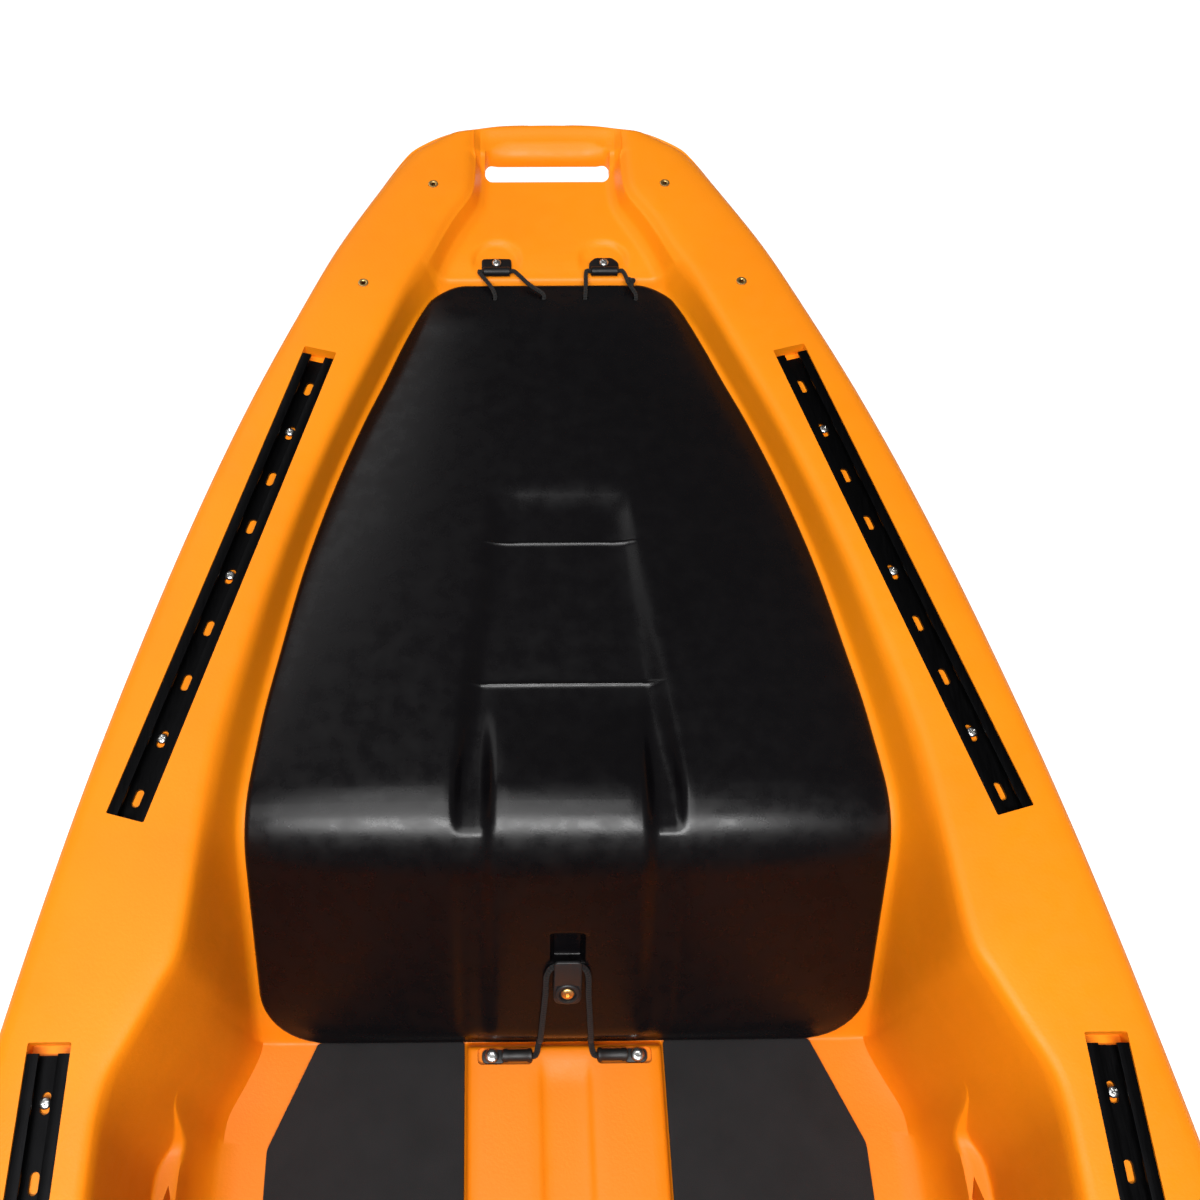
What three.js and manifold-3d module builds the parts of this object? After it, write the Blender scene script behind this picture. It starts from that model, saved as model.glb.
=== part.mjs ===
// Fishing kayak: a moulded sit-on-top hull with its bow hatch, gear tracks, deck pads, framed seat
// and fittings. Millimetres, X to starboard, Y towards the bow, Z up from the ground under the hull.
// A place along the hull is an "aft" distance, counted from the nose.
import * as THREE from "three";
import { mergeVertices } from "three/addons/utils/BufferGeometryUtils.js";
import Module from "manifold-3d";

const wasm = await Module();
wasm.setup();

// Driving dimensions of the hull.
const hullLength = 3660;
const hullBeam = 966;
const noseHeight = 395; // the gunwale over the ground, at the nose
const wall = 5; // thickness of the moulded skin
const keelWidth = 70;
const gunwaleRound = 10; // how far the gunwale's outer edge is rolled over

// Driving dimensions of the deck.
const gripDrop = 9; // the grip bar lies this far below the gunwales beside it
const panDepth = 28; // foredeck pan below the gunwale
const hatchSeatDepth = 46; // ledge that the bow hatch lies on, below the gunwale
const floorHeight = 115; // footwell floor over the ground
const seatDeckHeight = 175;
const tankFloorHeight = 190;
const ledgeHeight = 181; // moulded foot-brace ledge in the footwell walls
const ledgeWidth = 23;
const spineHeight = 12; // raised spine between the deck pads
const spineWidth = 168;
const channelWidth = 44;
const channelDepth = 5;
const overrun = 12; // cuts run this far past the faces that they go through
const clearance = 0.3; // between pieces that touch

// Shares of the hull's length, each with a share of half the beam, or of the nose height.
const sheerShares = [
  [0, 0.095], [0.0008, 0.155], [0.0025, 0.212], [0.005, 0.25], [0.009, 0.29], [0.015, 0.321],
  [0.0246, 0.362], [0.0434, 0.435], [0.0683, 0.511], [0.0923, 0.578], [0.12, 0.644], [0.149, 0.704],
  [0.197, 0.789], [0.238, 0.847], [0.287, 0.903], [0.369, 0.965], [0.5, 1], [0.6, 0.988],
  [0.7, 0.925], [0.8, 0.795], [0.88, 0.617], [0.94, 0.437], [0.97, 0.327], [0.99, 0.245],
  [0.9975, 0.172], [1, 0.105],
];
const keelShares = [
  [0, 0.9215], [0.0075, 0.904], [0.0142, 0.815], [0.022, 0.671], [0.033, 0.514], [0.055, 0.316],
  [0.082, 0.165], [0.137, 0.056], [0.22, 0.01], [0.3, 0], [0.7, 0], [0.78, 0.01], [0.86, 0.056],
  [0.92, 0.157], [0.955, 0.33], [0.975, 0.544], [0.985, 0.696], [0.9925, 0.79], [1, 0.805],
];
const gunwaleShares = [
  [0, 1], [0.3825, 0.805], [0.5, 0.79], [0.66, 0.795], [0.8, 0.823], [0.9, 0.85], [1, 0.885],
];
const fullnessShares = [
  [0, 0], [0.05, 0.25], [0.12, 0.6], [0.2, 0.88], [0.3, 1], [0.7, 1], [0.82, 0.85], [0.92, 0.5],
  [1, 0.1],
];
// Outline of a section from the keel to the gunwale: share of half the breadth, share of the height.
const fullSectionShares = [
  [0.14, 0.03], [0.28, 0.055], [0.49, 0], [0.61, 0], [0.8, 0.12], [0.91, 0.3], [0.955, 0.5],
  [0.985, 0.72], [1, 0.88],
];
const fineSectionShares = [
  [0.13, 0.06], [0.24, 0.14], [0.36, 0.23], [0.47, 0.31], [0.6, 0.42], [0.74, 0.56],
  [0.86, 0.71], [0.95, 0.82], [1, 0.92],
];
// The cockpit's edge at the gunwale and the foot of its wall, as shares of half the beam.
const cockpitEdgeShares = [
  [0.0137, 0.157], [0.0235, 0.161], [0.032, 0.201], [0.0434, 0.236], [0.055, 0.28], [0.0675, 0.315],
  [0.0803, 0.35], [0.092, 0.385], [0.125, 0.466], [0.1475, 0.511], [0.166, 0.54], [0.18, 0.563],
  [0.195, 0.575], [0.2156, 0.584], [0.227, 0.588], [0.2355, 0.615], [0.245, 0.648], [0.2536, 0.677],
  [0.262, 0.683], [0.6, 0.683], [0.615, 0.66],
];
const cockpitFootShares = [
  [0.0137, 0.137], [0.0235, 0.141], [0.032, 0.17], [0.0434, 0.212], [0.0487, 0.226], [0.0525, 0.24],
  [0.0566, 0.263], [0.067, 0.302], [0.0825, 0.346], [0.0945, 0.381], [0.1175, 0.437], [0.1377, 0.476],
  [0.158, 0.505], [0.176, 0.528], [0.2008, 0.545], [0.2325, 0.547], [0.2445, 0.58], [0.25, 0.6],
  [0.26, 0.603], [0.6, 0.603], [0.615, 0.58],
];
const tankEdgeShares = [[0.638, 0.6], [0.66, 0.64], [0.74, 0.6], [0.8, 0.52], [0.855, 0.41], [0.866, 0.37]];
const tankFootInset = 22;

// Places along the hull, as shares of its length.
const gripShares = [0, 0.0077]; // the grip bar's front and back
const panShares = [0.0137, 0.0492]; // the foredeck pan
const hatchBendShare = 0.199; // where the hatch seat turns down
const hatchFootShare = 0.2325; // where the hatch seat meets the floor
const spineShares = [0.235, 0.446];
const ledgeShares = [0.2475, 0.262]; // where the foot-brace ledge starts and reaches full width
const deckRiseShares = [0.45, 0.458]; // the step up to the seat deck
const cockpitEndShares = [0.612, 0.617];
const tankShares = [0.638, 0.643, 0.861, 0.866]; // the tank well's front wall and back wall
const sternGripShares = [0.9863, 0.9923];

const afterNose = (share) => share * hullLength;
const along = (aft) => hullLength / 2 - aft;
const halfBeam = hullBeam / 2;
const sides = [["left", -1], ["right", 1]];

// A value between the pairs of a table, on a smooth line that doesn't overshoot them.
function follow(pairs, at) {
  const last = pairs.length - 1;
  if (at <= pairs[0][0]) return pairs[0][1];
  if (at >= pairs[last][0]) return pairs[last][1];
  const i = pairs.findIndex((pair) => pair[0] > at) - 1;
  const slope = (k) => (pairs[k + 1][1] - pairs[k][1]) / (pairs[k + 1][0] - pairs[k][0]);
  const tangent = (k) => {
    if (k === 0) return slope(0);
    if (k === last) return slope(last - 1);
    const product = slope(k - 1) * slope(k);
    return product <= 0 ? 0 : (2 * product) / (slope(k - 1) + slope(k));
  };
  const step = pairs[i + 1][0] - pairs[i][0];
  const t = (at - pairs[i][0]) / step;
  const rise = t * t * (3 - 2 * t);
  return (
    pairs[i][1] * (1 - rise) + pairs[i + 1][1] * rise +
    step * (tangent(i) * t * (1 - t) ** 2 - tangent(i + 1) * t * t * (1 - t))
  );
}

function straight(pairs, at) {
  const i = Math.max(pairs.findIndex((pair) => pair[0] > at), 1) - 1;
  const t = (at - pairs[i][0]) / (pairs[i + 1][0] - pairs[i][0]);
  return THREE.MathUtils.lerp(pairs[i][1], pairs[i + 1][1], THREE.MathUtils.clamp(t, 0, 1));
}

const halfBreadth = (aft) => halfBeam * follow(sheerShares, aft / hullLength);
const keelHeight = (aft) => noseHeight * follow(keelShares, aft / hullLength);
const gunwaleKnee = gunwaleShares[1][0] * hullLength;
const sheerSlope = (noseHeight * (1 - gunwaleShares[1][1])) / gunwaleKnee;
const gunwaleHeight = (aft) =>
  aft < gunwaleKnee
    ? noseHeight - sheerSlope * aft
    : noseHeight * follow(gunwaleShares.slice(1), aft / hullLength);
const cockpitEdge = (aft) => halfBeam * follow(cockpitEdgeShares, aft / hullLength);
const cockpitFoot = (aft) => halfBeam * follow(cockpitFootShares, aft / hullLength);
const tankEdge = (aft) => halfBeam * follow(tankEdgeShares, aft / hullLength);

// Solids: joined and cut as manifolds, and shown as three.js geometry.
function solid(geometry) {
  const bare = geometry.clone();
  bare.deleteAttribute("normal");
  bare.deleteAttribute("uv");
  const merged = mergeVertices(bare);
  return new wasm.Manifold(
    new wasm.Mesh({
      numProp: 3,
      vertProperties: merged.attributes.position.array,
      triVerts: new Uint32Array(merged.index.array),
    }),
  );
}

function shown(manifold) {
  const mesh = manifold.getMesh();
  const geometry = new THREE.BufferGeometry();
  geometry.setAttribute("position", new THREE.BufferAttribute(mesh.vertProperties, mesh.numProp));
  geometry.setIndex(new THREE.BufferAttribute(mesh.triVerts, 1));
  geometry.computeVertexNormals();
  return geometry;
}

const joined = (geometries) => geometries.map(solid).reduce((all, next) => all.add(next));

// A closed skin over rings of points that run aft. In a ring, point i is joined at the ends to the
// i-th point from its back: right and left, or bottom and top.
function loft(rings) {
  const count = rings[0].length;
  const index = [];
  rings.slice(1).forEach((ring, r) => {
    for (let i = 0; i < count; i += 1) {
      const a = r * count + i;
      const b = r * count + ((i + 1) % count);
      index.push(a, b, a + count, b, b + count, a + count);
    }
  });
  const back = (rings.length - 1) * count;
  for (let i = 0; i < count / 2 - 1; i += 1) {
    const j = count - 1 - i;
    index.push(i, j, j - 1, i, j - 1, i + 1);
    index.push(back + i, back + j - 1, back + j, back + i, back + i + 1, back + j - 1);
  }
  const geometry = new THREE.BufferGeometry().setFromPoints(rings.flat());
  return geometry.setIndex(index);
}

// A ring across the hull from its right half, listed as [half-breadth, height] from the bottom up.
function across(aft, half) {
  const right = half.map(([x, z]) => new THREE.Vector3(x, along(aft), z));
  const left = half.map(([x, z]) => new THREE.Vector3(-x, along(aft), z)).reverse();
  return [...right, ...left];
}

// A block with rounded corners in plan, from one height to another.
function slot(width, length, corner, low, high, cornerFaces = 4) {
  const shape = new THREE.Shape();
  const [x, y] = [width / 2 - corner, length / 2 - corner];
  shape.absarc(x, y, corner, 0, Math.PI / 2);
  shape.absarc(-x, y, corner, Math.PI / 2, Math.PI);
  shape.absarc(-x, -y, corner, Math.PI, 1.5 * Math.PI);
  shape.absarc(x, -y, corner, 1.5 * Math.PI, 2 * Math.PI);
  const options = { depth: high - low, bevelEnabled: false, curveSegments: cornerFaces / 2 };
  return new THREE.ExtrudeGeometry(shape, options).translate(0, 0, low);
}

// A round tube or rod along a line of points.
function tube(points, radius, faces, steps, tension = 0.5) {
  const section = new THREE.Shape();
  section.absarc(0, 0, radius, 0, 2 * Math.PI);
  const path = new THREE.CatmullRomCurve3(points, false, "catmullrom", tension);
  return new THREE.ExtrudeGeometry(section, {
    steps, extrudePath: path, bevelEnabled: false, curveSegments: faces / 2,
  });
}

function rod(from, to, radius, faces = 10) {
  const section = new THREE.Shape();
  section.absarc(0, 0, radius, 0, 2 * Math.PI);
  return new THREE.ExtrudeGeometry(section, {
    steps: 1, extrudePath: new THREE.LineCurve3(from, to), bevelEnabled: false, curveSegments: faces / 2,
  });
}

// A turned piece about Z, from [radius, height] pairs that go round it.
const turned = (profile, faces) =>
  new THREE.LatheGeometry([...profile, profile[0]].map(([r, z]) => new THREE.Vector2(r, z)), faces)
    .rotateX(Math.PI / 2);

// A frame that lies in the gunwale's plane: Z is its normal, and Y points to the bow.
function gunwaleFrame(x, aft, turn, drop) {
  const normal = new THREE.Vector3(0, -sheerSlope, 1).normalize();
  const ahead = new THREE.Vector3(-Math.sin(turn), Math.cos(turn), 0);
  ahead.addScaledVector(normal, -ahead.dot(normal)).normalize();
  const beside = new THREE.Vector3().crossVectors(ahead, normal);
  return new THREE.Matrix4().makeBasis(beside, ahead, normal)
    .setPosition(x, along(aft), gunwaleHeight(aft) - drop);
}

// Materials, with the colours of the photograph.
const finish = (color, roughness, metalness = 0) =>
  new THREE.MeshStandardMaterial({ color, roughness, metalness });
const orangeShell = finish(0xf5911e, 0.5);
const blackShell = finish(0x151315, 0.35);
const blackRubber = finish(0x1a1a1a, 0.8);
const blackCord = finish(0x141414, 0.7);
const blackAluminium = finish(0x101012, 0.4, 0.6);
const steel = finish(0xb9bbbd, 0.3, 1);
const brass = finish(0xb08a3c, 0.35, 1);
const foam = finish(0x262628, 0.9);
const meshCloth = finish(0x2b2c2e, 0.85);
const darkPlastic = finish(0x2a2a2c, 0.5);

const kayak = new THREE.Group();

function add(name, geometry, material, matrix) {
  const piece = new THREE.Mesh(geometry, material);
  piece.name = name;
  if (matrix) matrix.decompose(piece.position, piece.quaternion, piece.scale);
  kayak.add(piece);
}

// The hatch seat: the line down the middle of the ledge that the bow hatch lies on. It runs aft
// under the gunwale, bends, and drops down to the footwell floor.
const hatchFront = afterNose(panShares[1]);
const hatchBend = afterNose(hatchBendShare);
const hatchFoot = afterNose(hatchFootShare);
const bendReach = 34;
const seatHeight = (aft) => gunwaleHeight(aft) - hatchSeatDepth;
const bendPoint = new THREE.Vector2(hatchBend, seatHeight(hatchBend));
const footPoint = new THREE.Vector2(hatchFoot, floorHeight);
const bendStart = new THREE.Vector2(hatchBend - bendReach, seatHeight(hatchBend - bendReach));
const bendEnd = bendPoint.clone().lerp(footPoint, bendReach / bendPoint.distanceTo(footPoint));
const bendCurve = new THREE.QuadraticBezierCurve(bendStart, bendPoint, bendEnd);
const bendSteps = 5;
const seatLine = [
  [hatchFront, seatHeight(hatchFront)],
  ...bendCurve.getPoints(bendSteps).map((p) => [p.x, p.y]),
  [hatchFoot, floorHeight],
];

function cockpitFloor(aft) {
  const share = aft / hullLength;
  if (share < panShares[0]) return gunwaleHeight(aft) - gripDrop;
  if (aft < hatchFront) return gunwaleHeight(aft) - panDepth;
  if (aft < hatchFoot) return straight(seatLine, aft);
  const rise = deckRiseShares.map(afterNose);
  if (share < cockpitEndShares[0])
    return straight([[rise[0], floorHeight], [rise[1], seatDeckHeight]], Math.max(aft, rise[0]));
  const end = cockpitEndShares.map(afterNose);
  return straight([[end[0], seatDeckHeight], [end[1], gunwaleHeight(end[1])]], aft);
}

// Hull: a hollow shell. The outer skin less the hollow, which keeps clear of every recess by a wall.
function hullSection(aft, inset) {
  const [low, high] = [keelHeight(aft) + inset, gunwaleHeight(aft) - inset];
  const width = halfBreadth(aft) - inset;
  const full = follow(fullnessShares, aft / hullLength);
  const keel = Math.min(keelWidth / 2, width / 3) - inset / 2;
  const bilge = fullSectionShares.map(([x, z], i) => [
    width * THREE.MathUtils.lerp(fineSectionShares[i][0], x, full),
    low + (high - low) * THREE.MathUtils.lerp(fineSectionShares[i][1], z, full),
  ]);
  const edge = width - gunwaleRound;
  return across(aft, [[keel, low], ...bilge, [width - gunwaleRound / 4, high - gunwaleRound / 2], [edge, high]]);
}

const hullStationShares = [
  ...sheerShares.map(([share]) => share),
  0.022, 0.033, 0.055, 0.17, 0.22, 0.26, 0.32, 0.3825, 0.44, 0.65, 0.75, 0.84, 0.91, 0.955, 0.98,
].sort((a, b) => a - b);
const outerSkin = solid(loft(hullStationShares.map((share) => hullSection(afterNose(share), 0))));
const hollowStationShares = [
  0.009, 0.0142, 0.022, 0.033, 0.055, 0.0923, 0.12, 0.149, 0.197, 0.26, 0.3, 0.3825, 0.5, 0.6, 0.7,
  0.8, 0.88, 0.94, 0.97, 0.985,
];
const hollowSkin = solid(loft(hollowStationShares.map((share) => hullSection(afterNose(share), wall))));

// The lowest floor within reach of a place, so that a step keeps its wall too.
const lowest = (floor, aft, grow) => Math.min(floor(aft - grow), floor(aft), floor(aft + grow)) - grow;

const ledgeLift = 0.2; // the ledge's outer edge over its inner one

function cockpitRing(aft, grow) {
  const floor = lowest(cockpitFloor, aft, grow);
  const top = gunwaleHeight(aft);
  const [edge, foot] = [cockpitEdge(aft) + grow, cockpitFoot(aft) + grow];
  const shelf = THREE.MathUtils.smoothstep(aft / hullLength, ledgeShares[0], ledgeShares[1]);
  const rise = Math.max(top - floor, wall);
  const low = Math.max((ledgeHeight - grow - floor) / rise, ledgeLift / rise);
  const wallAt = (share) => THREE.MathUtils.lerp(foot, edge, share);
  const inner = THREE.MathUtils.lerp(wallAt(low), edge - ledgeWidth, shelf);
  const outer = THREE.MathUtils.lerp(wallAt(low), edge - ledgeWidth / 6, shelf);
  return across(aft, [
    [foot, floor], [inner, floor + low * rise], [outer, floor + low * rise + ledgeLift],
    [edge, Math.max(top, floor + wall)], [edge, top + overrun],
  ]);
}

const cockpitStationShares = [
  0.0128, 0.0136, 0.0138, 0.02, 0.0235, 0.028, 0.032, 0.038, 0.0434, 0.0491, 0.0493, 0.0525, 0.0566,
  0.067, 0.0825, 0.0945, 0.1175, 0.1377, 0.158, 0.176, ...seatLine.slice(1).map(([aft]) => aft / hullLength),
  0.227, 0.2355, 0.24, 0.2445, 0.2475, 0.25, 0.2536, 0.258, 0.262, 0.35, 0.4499, 0.4581, 0.53,
  0.6, 0.6119, 0.6171,
].sort((a, b) => a - b);

const guardStationShares = [
  0.0128, 0.0235, 0.032, 0.0434, 0.0491, 0.0493, 0.0566, 0.0825, 0.1175, 0.158, 0.189,
  ...seatLine.slice(1).map(([aft]) => aft / hullLength), 0.2355, 0.2445, 0.2475, 0.2536, 0.262, 0.35, 0.4499,
  0.4581, 0.6, 0.6119, 0.6171,
].sort((a, b) => a - b);

function trough(ring, stationShares, grow) {
  const places = stationShares.map(afterNose);
  const first = places[0] - grow;
  const last = places[places.length - 1] + grow;
  const all = grow ? [first, ...places, last] : places;
  return solid(loft(all.map((aft) => ring(aft, grow))));
}

function tankFloor(aft) {
  const [front, frontFoot, backFoot, back] = tankShares.map(afterNose);
  if (aft < frontFoot) return straight([[front, gunwaleHeight(front)], [frontFoot, tankFloorHeight]], aft);
  if (aft > backFoot) return straight([[backFoot, tankFloorHeight], [back, gunwaleHeight(back)]], aft);
  return tankFloorHeight;
}

function tankRing(aft, grow) {
  const floor = lowest(tankFloor, aft, grow);
  const top = gunwaleHeight(aft);
  const edge = tankEdge(aft) + grow;
  return across(aft, [
    [edge - tankFootInset, Math.min(floor, top)], [edge, Math.max(floor, top)], [edge, top + overrun],
  ]);
}

const tankStationShares = [tankShares[0], tankShares[1], 0.66, 0.7, 0.74, 0.8, 0.84, tankShares[2], tankShares[3]];

const cuts = [trough(cockpitRing, cockpitStationShares, 0), trough(tankRing, tankStationShares, 0)];
const guarded = [trough(cockpitRing, guardStationShares, wall), trough(tankRing, tankStationShares, wall)];

function cut(geometry, matrix = new THREE.Matrix4()) {
  cuts.push(solid(geometry.applyMatrix4(matrix)));
}

// A recess with its own wall round it: the same shape, grown, keeps the hollow away.
function recess(shape, grown, matrix = new THREE.Matrix4()) {
  cut(shape, matrix);
  guarded.push(solid(grown.applyMatrix4(matrix)));
}

// Grip slots through the nose and the stern.
const gripSlotWidth = 128;
const gripSlotLength = 22;
const gripSlotCorner = 8;
const gripSlotShares = [(gripShares[1] + panShares[0]) / 2, (sternGripShares[0] + sternGripShares[1]) / 2];
for (const aft of gripSlotShares.map((share) => afterNose(share))) {
  const place = new THREE.Matrix4().makeTranslation(0, along(aft), 0);
  const top = noseHeight + overrun;
  recess(
    slot(gripSlotWidth, gripSlotLength, gripSlotCorner, 0, top),
    slot(gripSlotWidth + 2 * wall, gripSlotLength + 2 * wall, gripSlotCorner + wall, 0, top),
    place,
  );
}
// The grip bar lies lower than the gunwales beside it.
const gripWidth = 2 * halfBeam * cockpitEdgeShares[0][1];
const gripReach = afterNose(panShares[0]) + overrun;
const gripDip = slot(gripWidth, gripReach + overrun, gripDrop, -gripDrop, overrun);
cut(gripDip, gunwaleFrame(0, (gripReach - overrun) / 2, 0, 0));

// The hatch opening: the seat's ledge stays, and what lies inside it opens into the hollow hull.
const hatchLedge = 28;
const hatchOpeningShares = [0.0565, 0.067, 0.0825, 0.105, 0.1377, 0.17];
const openingEnd = hatchFoot - hatchLedge;
const openingPlaces = [
  ...hatchOpeningShares.map(afterNose),
  ...seatLine.slice(1, -1).map(([aft]) => aft),
  THREE.MathUtils.lerp(seatLine[seatLine.length - 2][0], openingEnd, 1 / 2),
  openingEnd,
];
cuts.push(
  solid(loft(openingPlaces.map((aft, i) => {
    const half = cockpitFoot(aft) - hatchLedge * (i === 0 || i === openingPlaces.length - 1 ? 2 : 1);
    const low = cockpitFloor(aft) - 2 * overrun;
    return across(aft, [[half, low], [half, gunwaleHeight(aft)]]);
  }))),
);

// The spine between the deck pads, joined to the floor, with a shallow channel along it.
const spineFront = afterNose(spineShares[0]);
const spineBack = afterNose(spineShares[1]);
const spineTop = floorHeight + spineHeight;
const spineLength = spineBack - spineFront;
const spineMiddle = along((spineFront + spineBack) / 2);
const spine = slot(spineWidth, spineLength, spineHeight, floorHeight - wall / 2, spineTop)
  .translate(0, spineMiddle, 0);
cut(slot(channelWidth, spineLength, channelWidth / 2, spineTop - channelDepth, spineTop + overrun)
  .translate(0, spineMiddle - spineHeight, 0));

// Screws: a pan head over a shank that fills its hole but for the clearance.
const screwFaces = 8;
const holeFaces = 8;
const shankRadius = 2.2;
const shankLength = 12;
const headRadius = 4.6;
const headHeight = 2.6;
const screw = (head = headRadius, high = headHeight, length = shankLength) =>
  turned([[0, -length], [shankRadius, -length], [shankRadius, 0], [head, 0], [head, high / 2],
    [head - high / 2, high], [0, high]], screwFaces);
function hole(radius, depth) {
  const corner = (radius + clearance) / Math.cos(Math.PI / holeFaces);
  return turned([[0, -depth], [corner, -depth], [corner, overrun], [0, overrun]], holeFaces);
}
const screwHole = (length = shankLength) => hole(shankRadius, length + clearance);

// Gear tracks: slotted aluminium channels sunk in the gunwales, two by the bow and two amidships.
const slotPitch = 50.8;
const slotCount = 9;
const trackLength = slotPitch * slotCount;
const trackWidth = 30;
const trackHeight = 12;
const trackWall = 2.4;
const trackLip = 8.4; // from the outer face to the edge of the long mouth
const trackFirst = 0.62 * slotPitch; // from the bow end to the first slot
const trackSlotWidth = 6.5;
const trackSlotLength = 15;
const trackSink = 1; // below the gunwale
const pocketExtra = 7; // the pocket runs on past the track's bow end
const pocketCorner = 0.5;
const trackTilt = THREE.MathUtils.degToRad(15.3);
const trackDrop = trackHeight + trackSink;
const trackSets = [
  { where: "bow", afterShare: 0.081, outShare: 0.4512, tilt: trackTilt, screws: [1, 4, 7] },
  { where: "middle", afterShare: 0.2478, outShare: 0.766, tilt: 0, screws: [0, 4, 8] },
];

function trackGeometry() {
  const [half, low, top] = [trackWidth / 2, trackWall, trackHeight];
  const [neck, inner] = [half - trackLip, half - trackWall];
  const outline = [
    [-half, 0], [half, 0], [half, top], [neck, top], [neck, top - trackWall], [inner, top - trackWall],
    [inner, low], [-inner, low], [-inner, top - trackWall], [-neck, top - trackWall], [-neck, top], [-half, top],
  ];
  const shape = new THREE.Shape(outline.map(([x, y]) => new THREE.Vector2(x, y)));
  let body = solid(new THREE.ExtrudeGeometry(shape, { depth: trackLength, bevelEnabled: false })
    .rotateX(Math.PI / 2));
  for (let i = 0; i < slotCount; i += 1) {
    const opening = slot(trackSlotWidth, trackSlotLength, trackSlotWidth / 2, -trackWall, 2 * trackWall, 2);
    body = body.subtract(solid(opening.translate(0, -trackFirst - i * slotPitch, 0)));
  }
  return shown(body);
}

const trackShape = trackGeometry();
for (const { where, afterShare, outShare, tilt, screws } of trackSets) {
  for (const [sideName, side] of sides) {
    const frame = gunwaleFrame(side * outShare * halfBeam, afterNose(afterShare), side * tilt, trackDrop);
    const pocket = (grow) => slot(
      trackWidth + 2 * (clearance + grow), trackLength + pocketExtra + 2 * (clearance + grow),
      pocketCorner + grow, -clearance - grow, trackDrop + overrun, 2,
    ).translate(0, (pocketExtra - trackLength) / 2, 0);
    recess(pocket(0), pocket(wall), frame);
    add(`gear_track_${where}_${sideName}`, trackShape, blackAluminium, frame);
    screws.forEach((index, number) => {
      const seat = new THREE.Matrix4()
        .makeTranslation(0, -trackFirst - index * slotPitch, trackWall + clearance);
      const at = frame.clone().multiply(seat);
      cut(screwHole(), at);
      add(`track_screw_${where}_${sideName}_${number + 1}`, screw(), steel, at);
    });
  }
}

// Brass threaded inserts for accessories, two on each bow gunwale.
const insertRadius = 4.5;
const insertBore = 2;
const insertLength = 14;
const insertFlange = 6;
const insertFlangeHeight = 1;
const insertPlaces = [
  { row: "front", afterShare: 0.0226, outShare: 0.2393 },
  { row: "rear", afterShare: 0.0576, outShare: 0.3727 },
];
for (const { row, afterShare, outShare } of insertPlaces) {
  for (const [sideName, side] of sides) {
    const at = gunwaleFrame(side * outShare * halfBeam, afterNose(afterShare), 0, 0);
    cut(hole(insertRadius, insertLength + clearance), at);
    add(`brass_insert_${row}_${sideName}`, turned([
      [0, -insertLength], [insertRadius, -insertLength], [insertRadius, clearance],
      [insertFlange, clearance], [insertFlange, insertFlangeHeight], [insertBore, insertFlangeHeight],
      [insertBore, -insertLength / 2], [0, -insertLength / 2],
    ], screwFaces), brass, at);
  }
}

// Bow hatch: a moulded lid that lies over the seat, bends with it and covers the way into the hull.
const hatchGap = 6; // from the lid's edge to the wall beside it
const hatchThickness = 3.5;
const gasketHeight = 7;
const hatchCrown = 12; // how far the lid's middle stands over its edges
const hatchRim = 9; // breadth of the edge that turns down to the seat
const hatchCorner = 24; // front corners
const hatchFootCorner = 42;
const hatchFrontGap = 4;
const hatchFootGap = 13; // the lid stops this far short of the floor, along the slope
const panelRise = 3;
const troughDepth = 5;
const panelHalf = 64;
const troughHalf = 15;
const panelStart = 232; // from the front of the seat to where the middle panel begins
const panelFade = 60;
const rimShare = 0.2; // of the gasket's height, left open under the turned edge

// A place on the seat line, so far from its front, with the direction that points out of the hull.
const seatPath = new THREE.CurvePath();
seatLine.slice(1).forEach(([aft, z], i) => {
  seatPath.add(new THREE.LineCurve(new THREE.Vector2(...seatLine[i]), new THREE.Vector2(aft, z)));
});
const seatTotal = seatPath.getLength();
function seatFrame(distance) {
  const reach = hatchRim / seatTotal;
  const u = distance / seatTotal;
  const point = seatPath.getPointAt(u);
  const ahead = seatPath.getPointAt(Math.max(u - reach, 0));
  const way = seatPath.getPointAt(Math.min(u + reach, 1)).sub(ahead).normalize();
  return { distance, aft: point.x, z: point.y, out: [-way.y, way.x] };
}

function onSeat(frame, x, lift) {
  return new THREE.Vector3(x, along(frame.aft + frame.out[0] * lift), frame.z + frame.out[1] * lift);
}

const lidStart = hatchFrontGap;
const lidEnd = seatTotal - hatchFootGap;
const cornerLoss = (radius, distance) =>
  distance >= radius ? 0 : radius - Math.sqrt(radius ** 2 - (radius - distance) ** 2);
const lidHalf = (frame) => cockpitFoot(frame.aft) - hatchGap
  - cornerLoss(hatchCorner, frame.distance - lidStart)
  - cornerLoss(hatchFootCorner, lidEnd - frame.distance);

// How far the lid's under side stands off the seat.
function lidLift(frame, x, half) {
  const edge = Math.min(half - Math.abs(x), frame.distance - lidStart, lidEnd - frame.distance);
  const rim = THREE.MathUtils.smoothstep(edge, 0, hatchRim);
  const base = gasketHeight + 2 * clearance;
  const crown = hatchCrown * rim * (1 - Math.abs(x / half) ** 3)
    * THREE.MathUtils.smoothstep(frame.distance - lidStart, 0, 3 * hatchRim)
    * THREE.MathUtils.smoothstep(lidEnd - frame.distance, 0, 3 * hatchRim);
  const present = THREE.MathUtils.smoothstep(frame.distance, panelStart, panelStart + panelFade)
    * THREE.MathUtils.smoothstep(lidEnd - frame.distance, 0, 3 * hatchRim);
  const off = (Math.abs(x) - panelHalf - troughHalf) / troughHalf;
  const trough = troughDepth * Math.max(1 - off * off, 0);
  const panel = Math.abs(x) < panelHalf ? panelRise : 0;
  return base * (rimShare + (1 - rimShare) * rim) + crown + present * (panel - trough);
}

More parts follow.
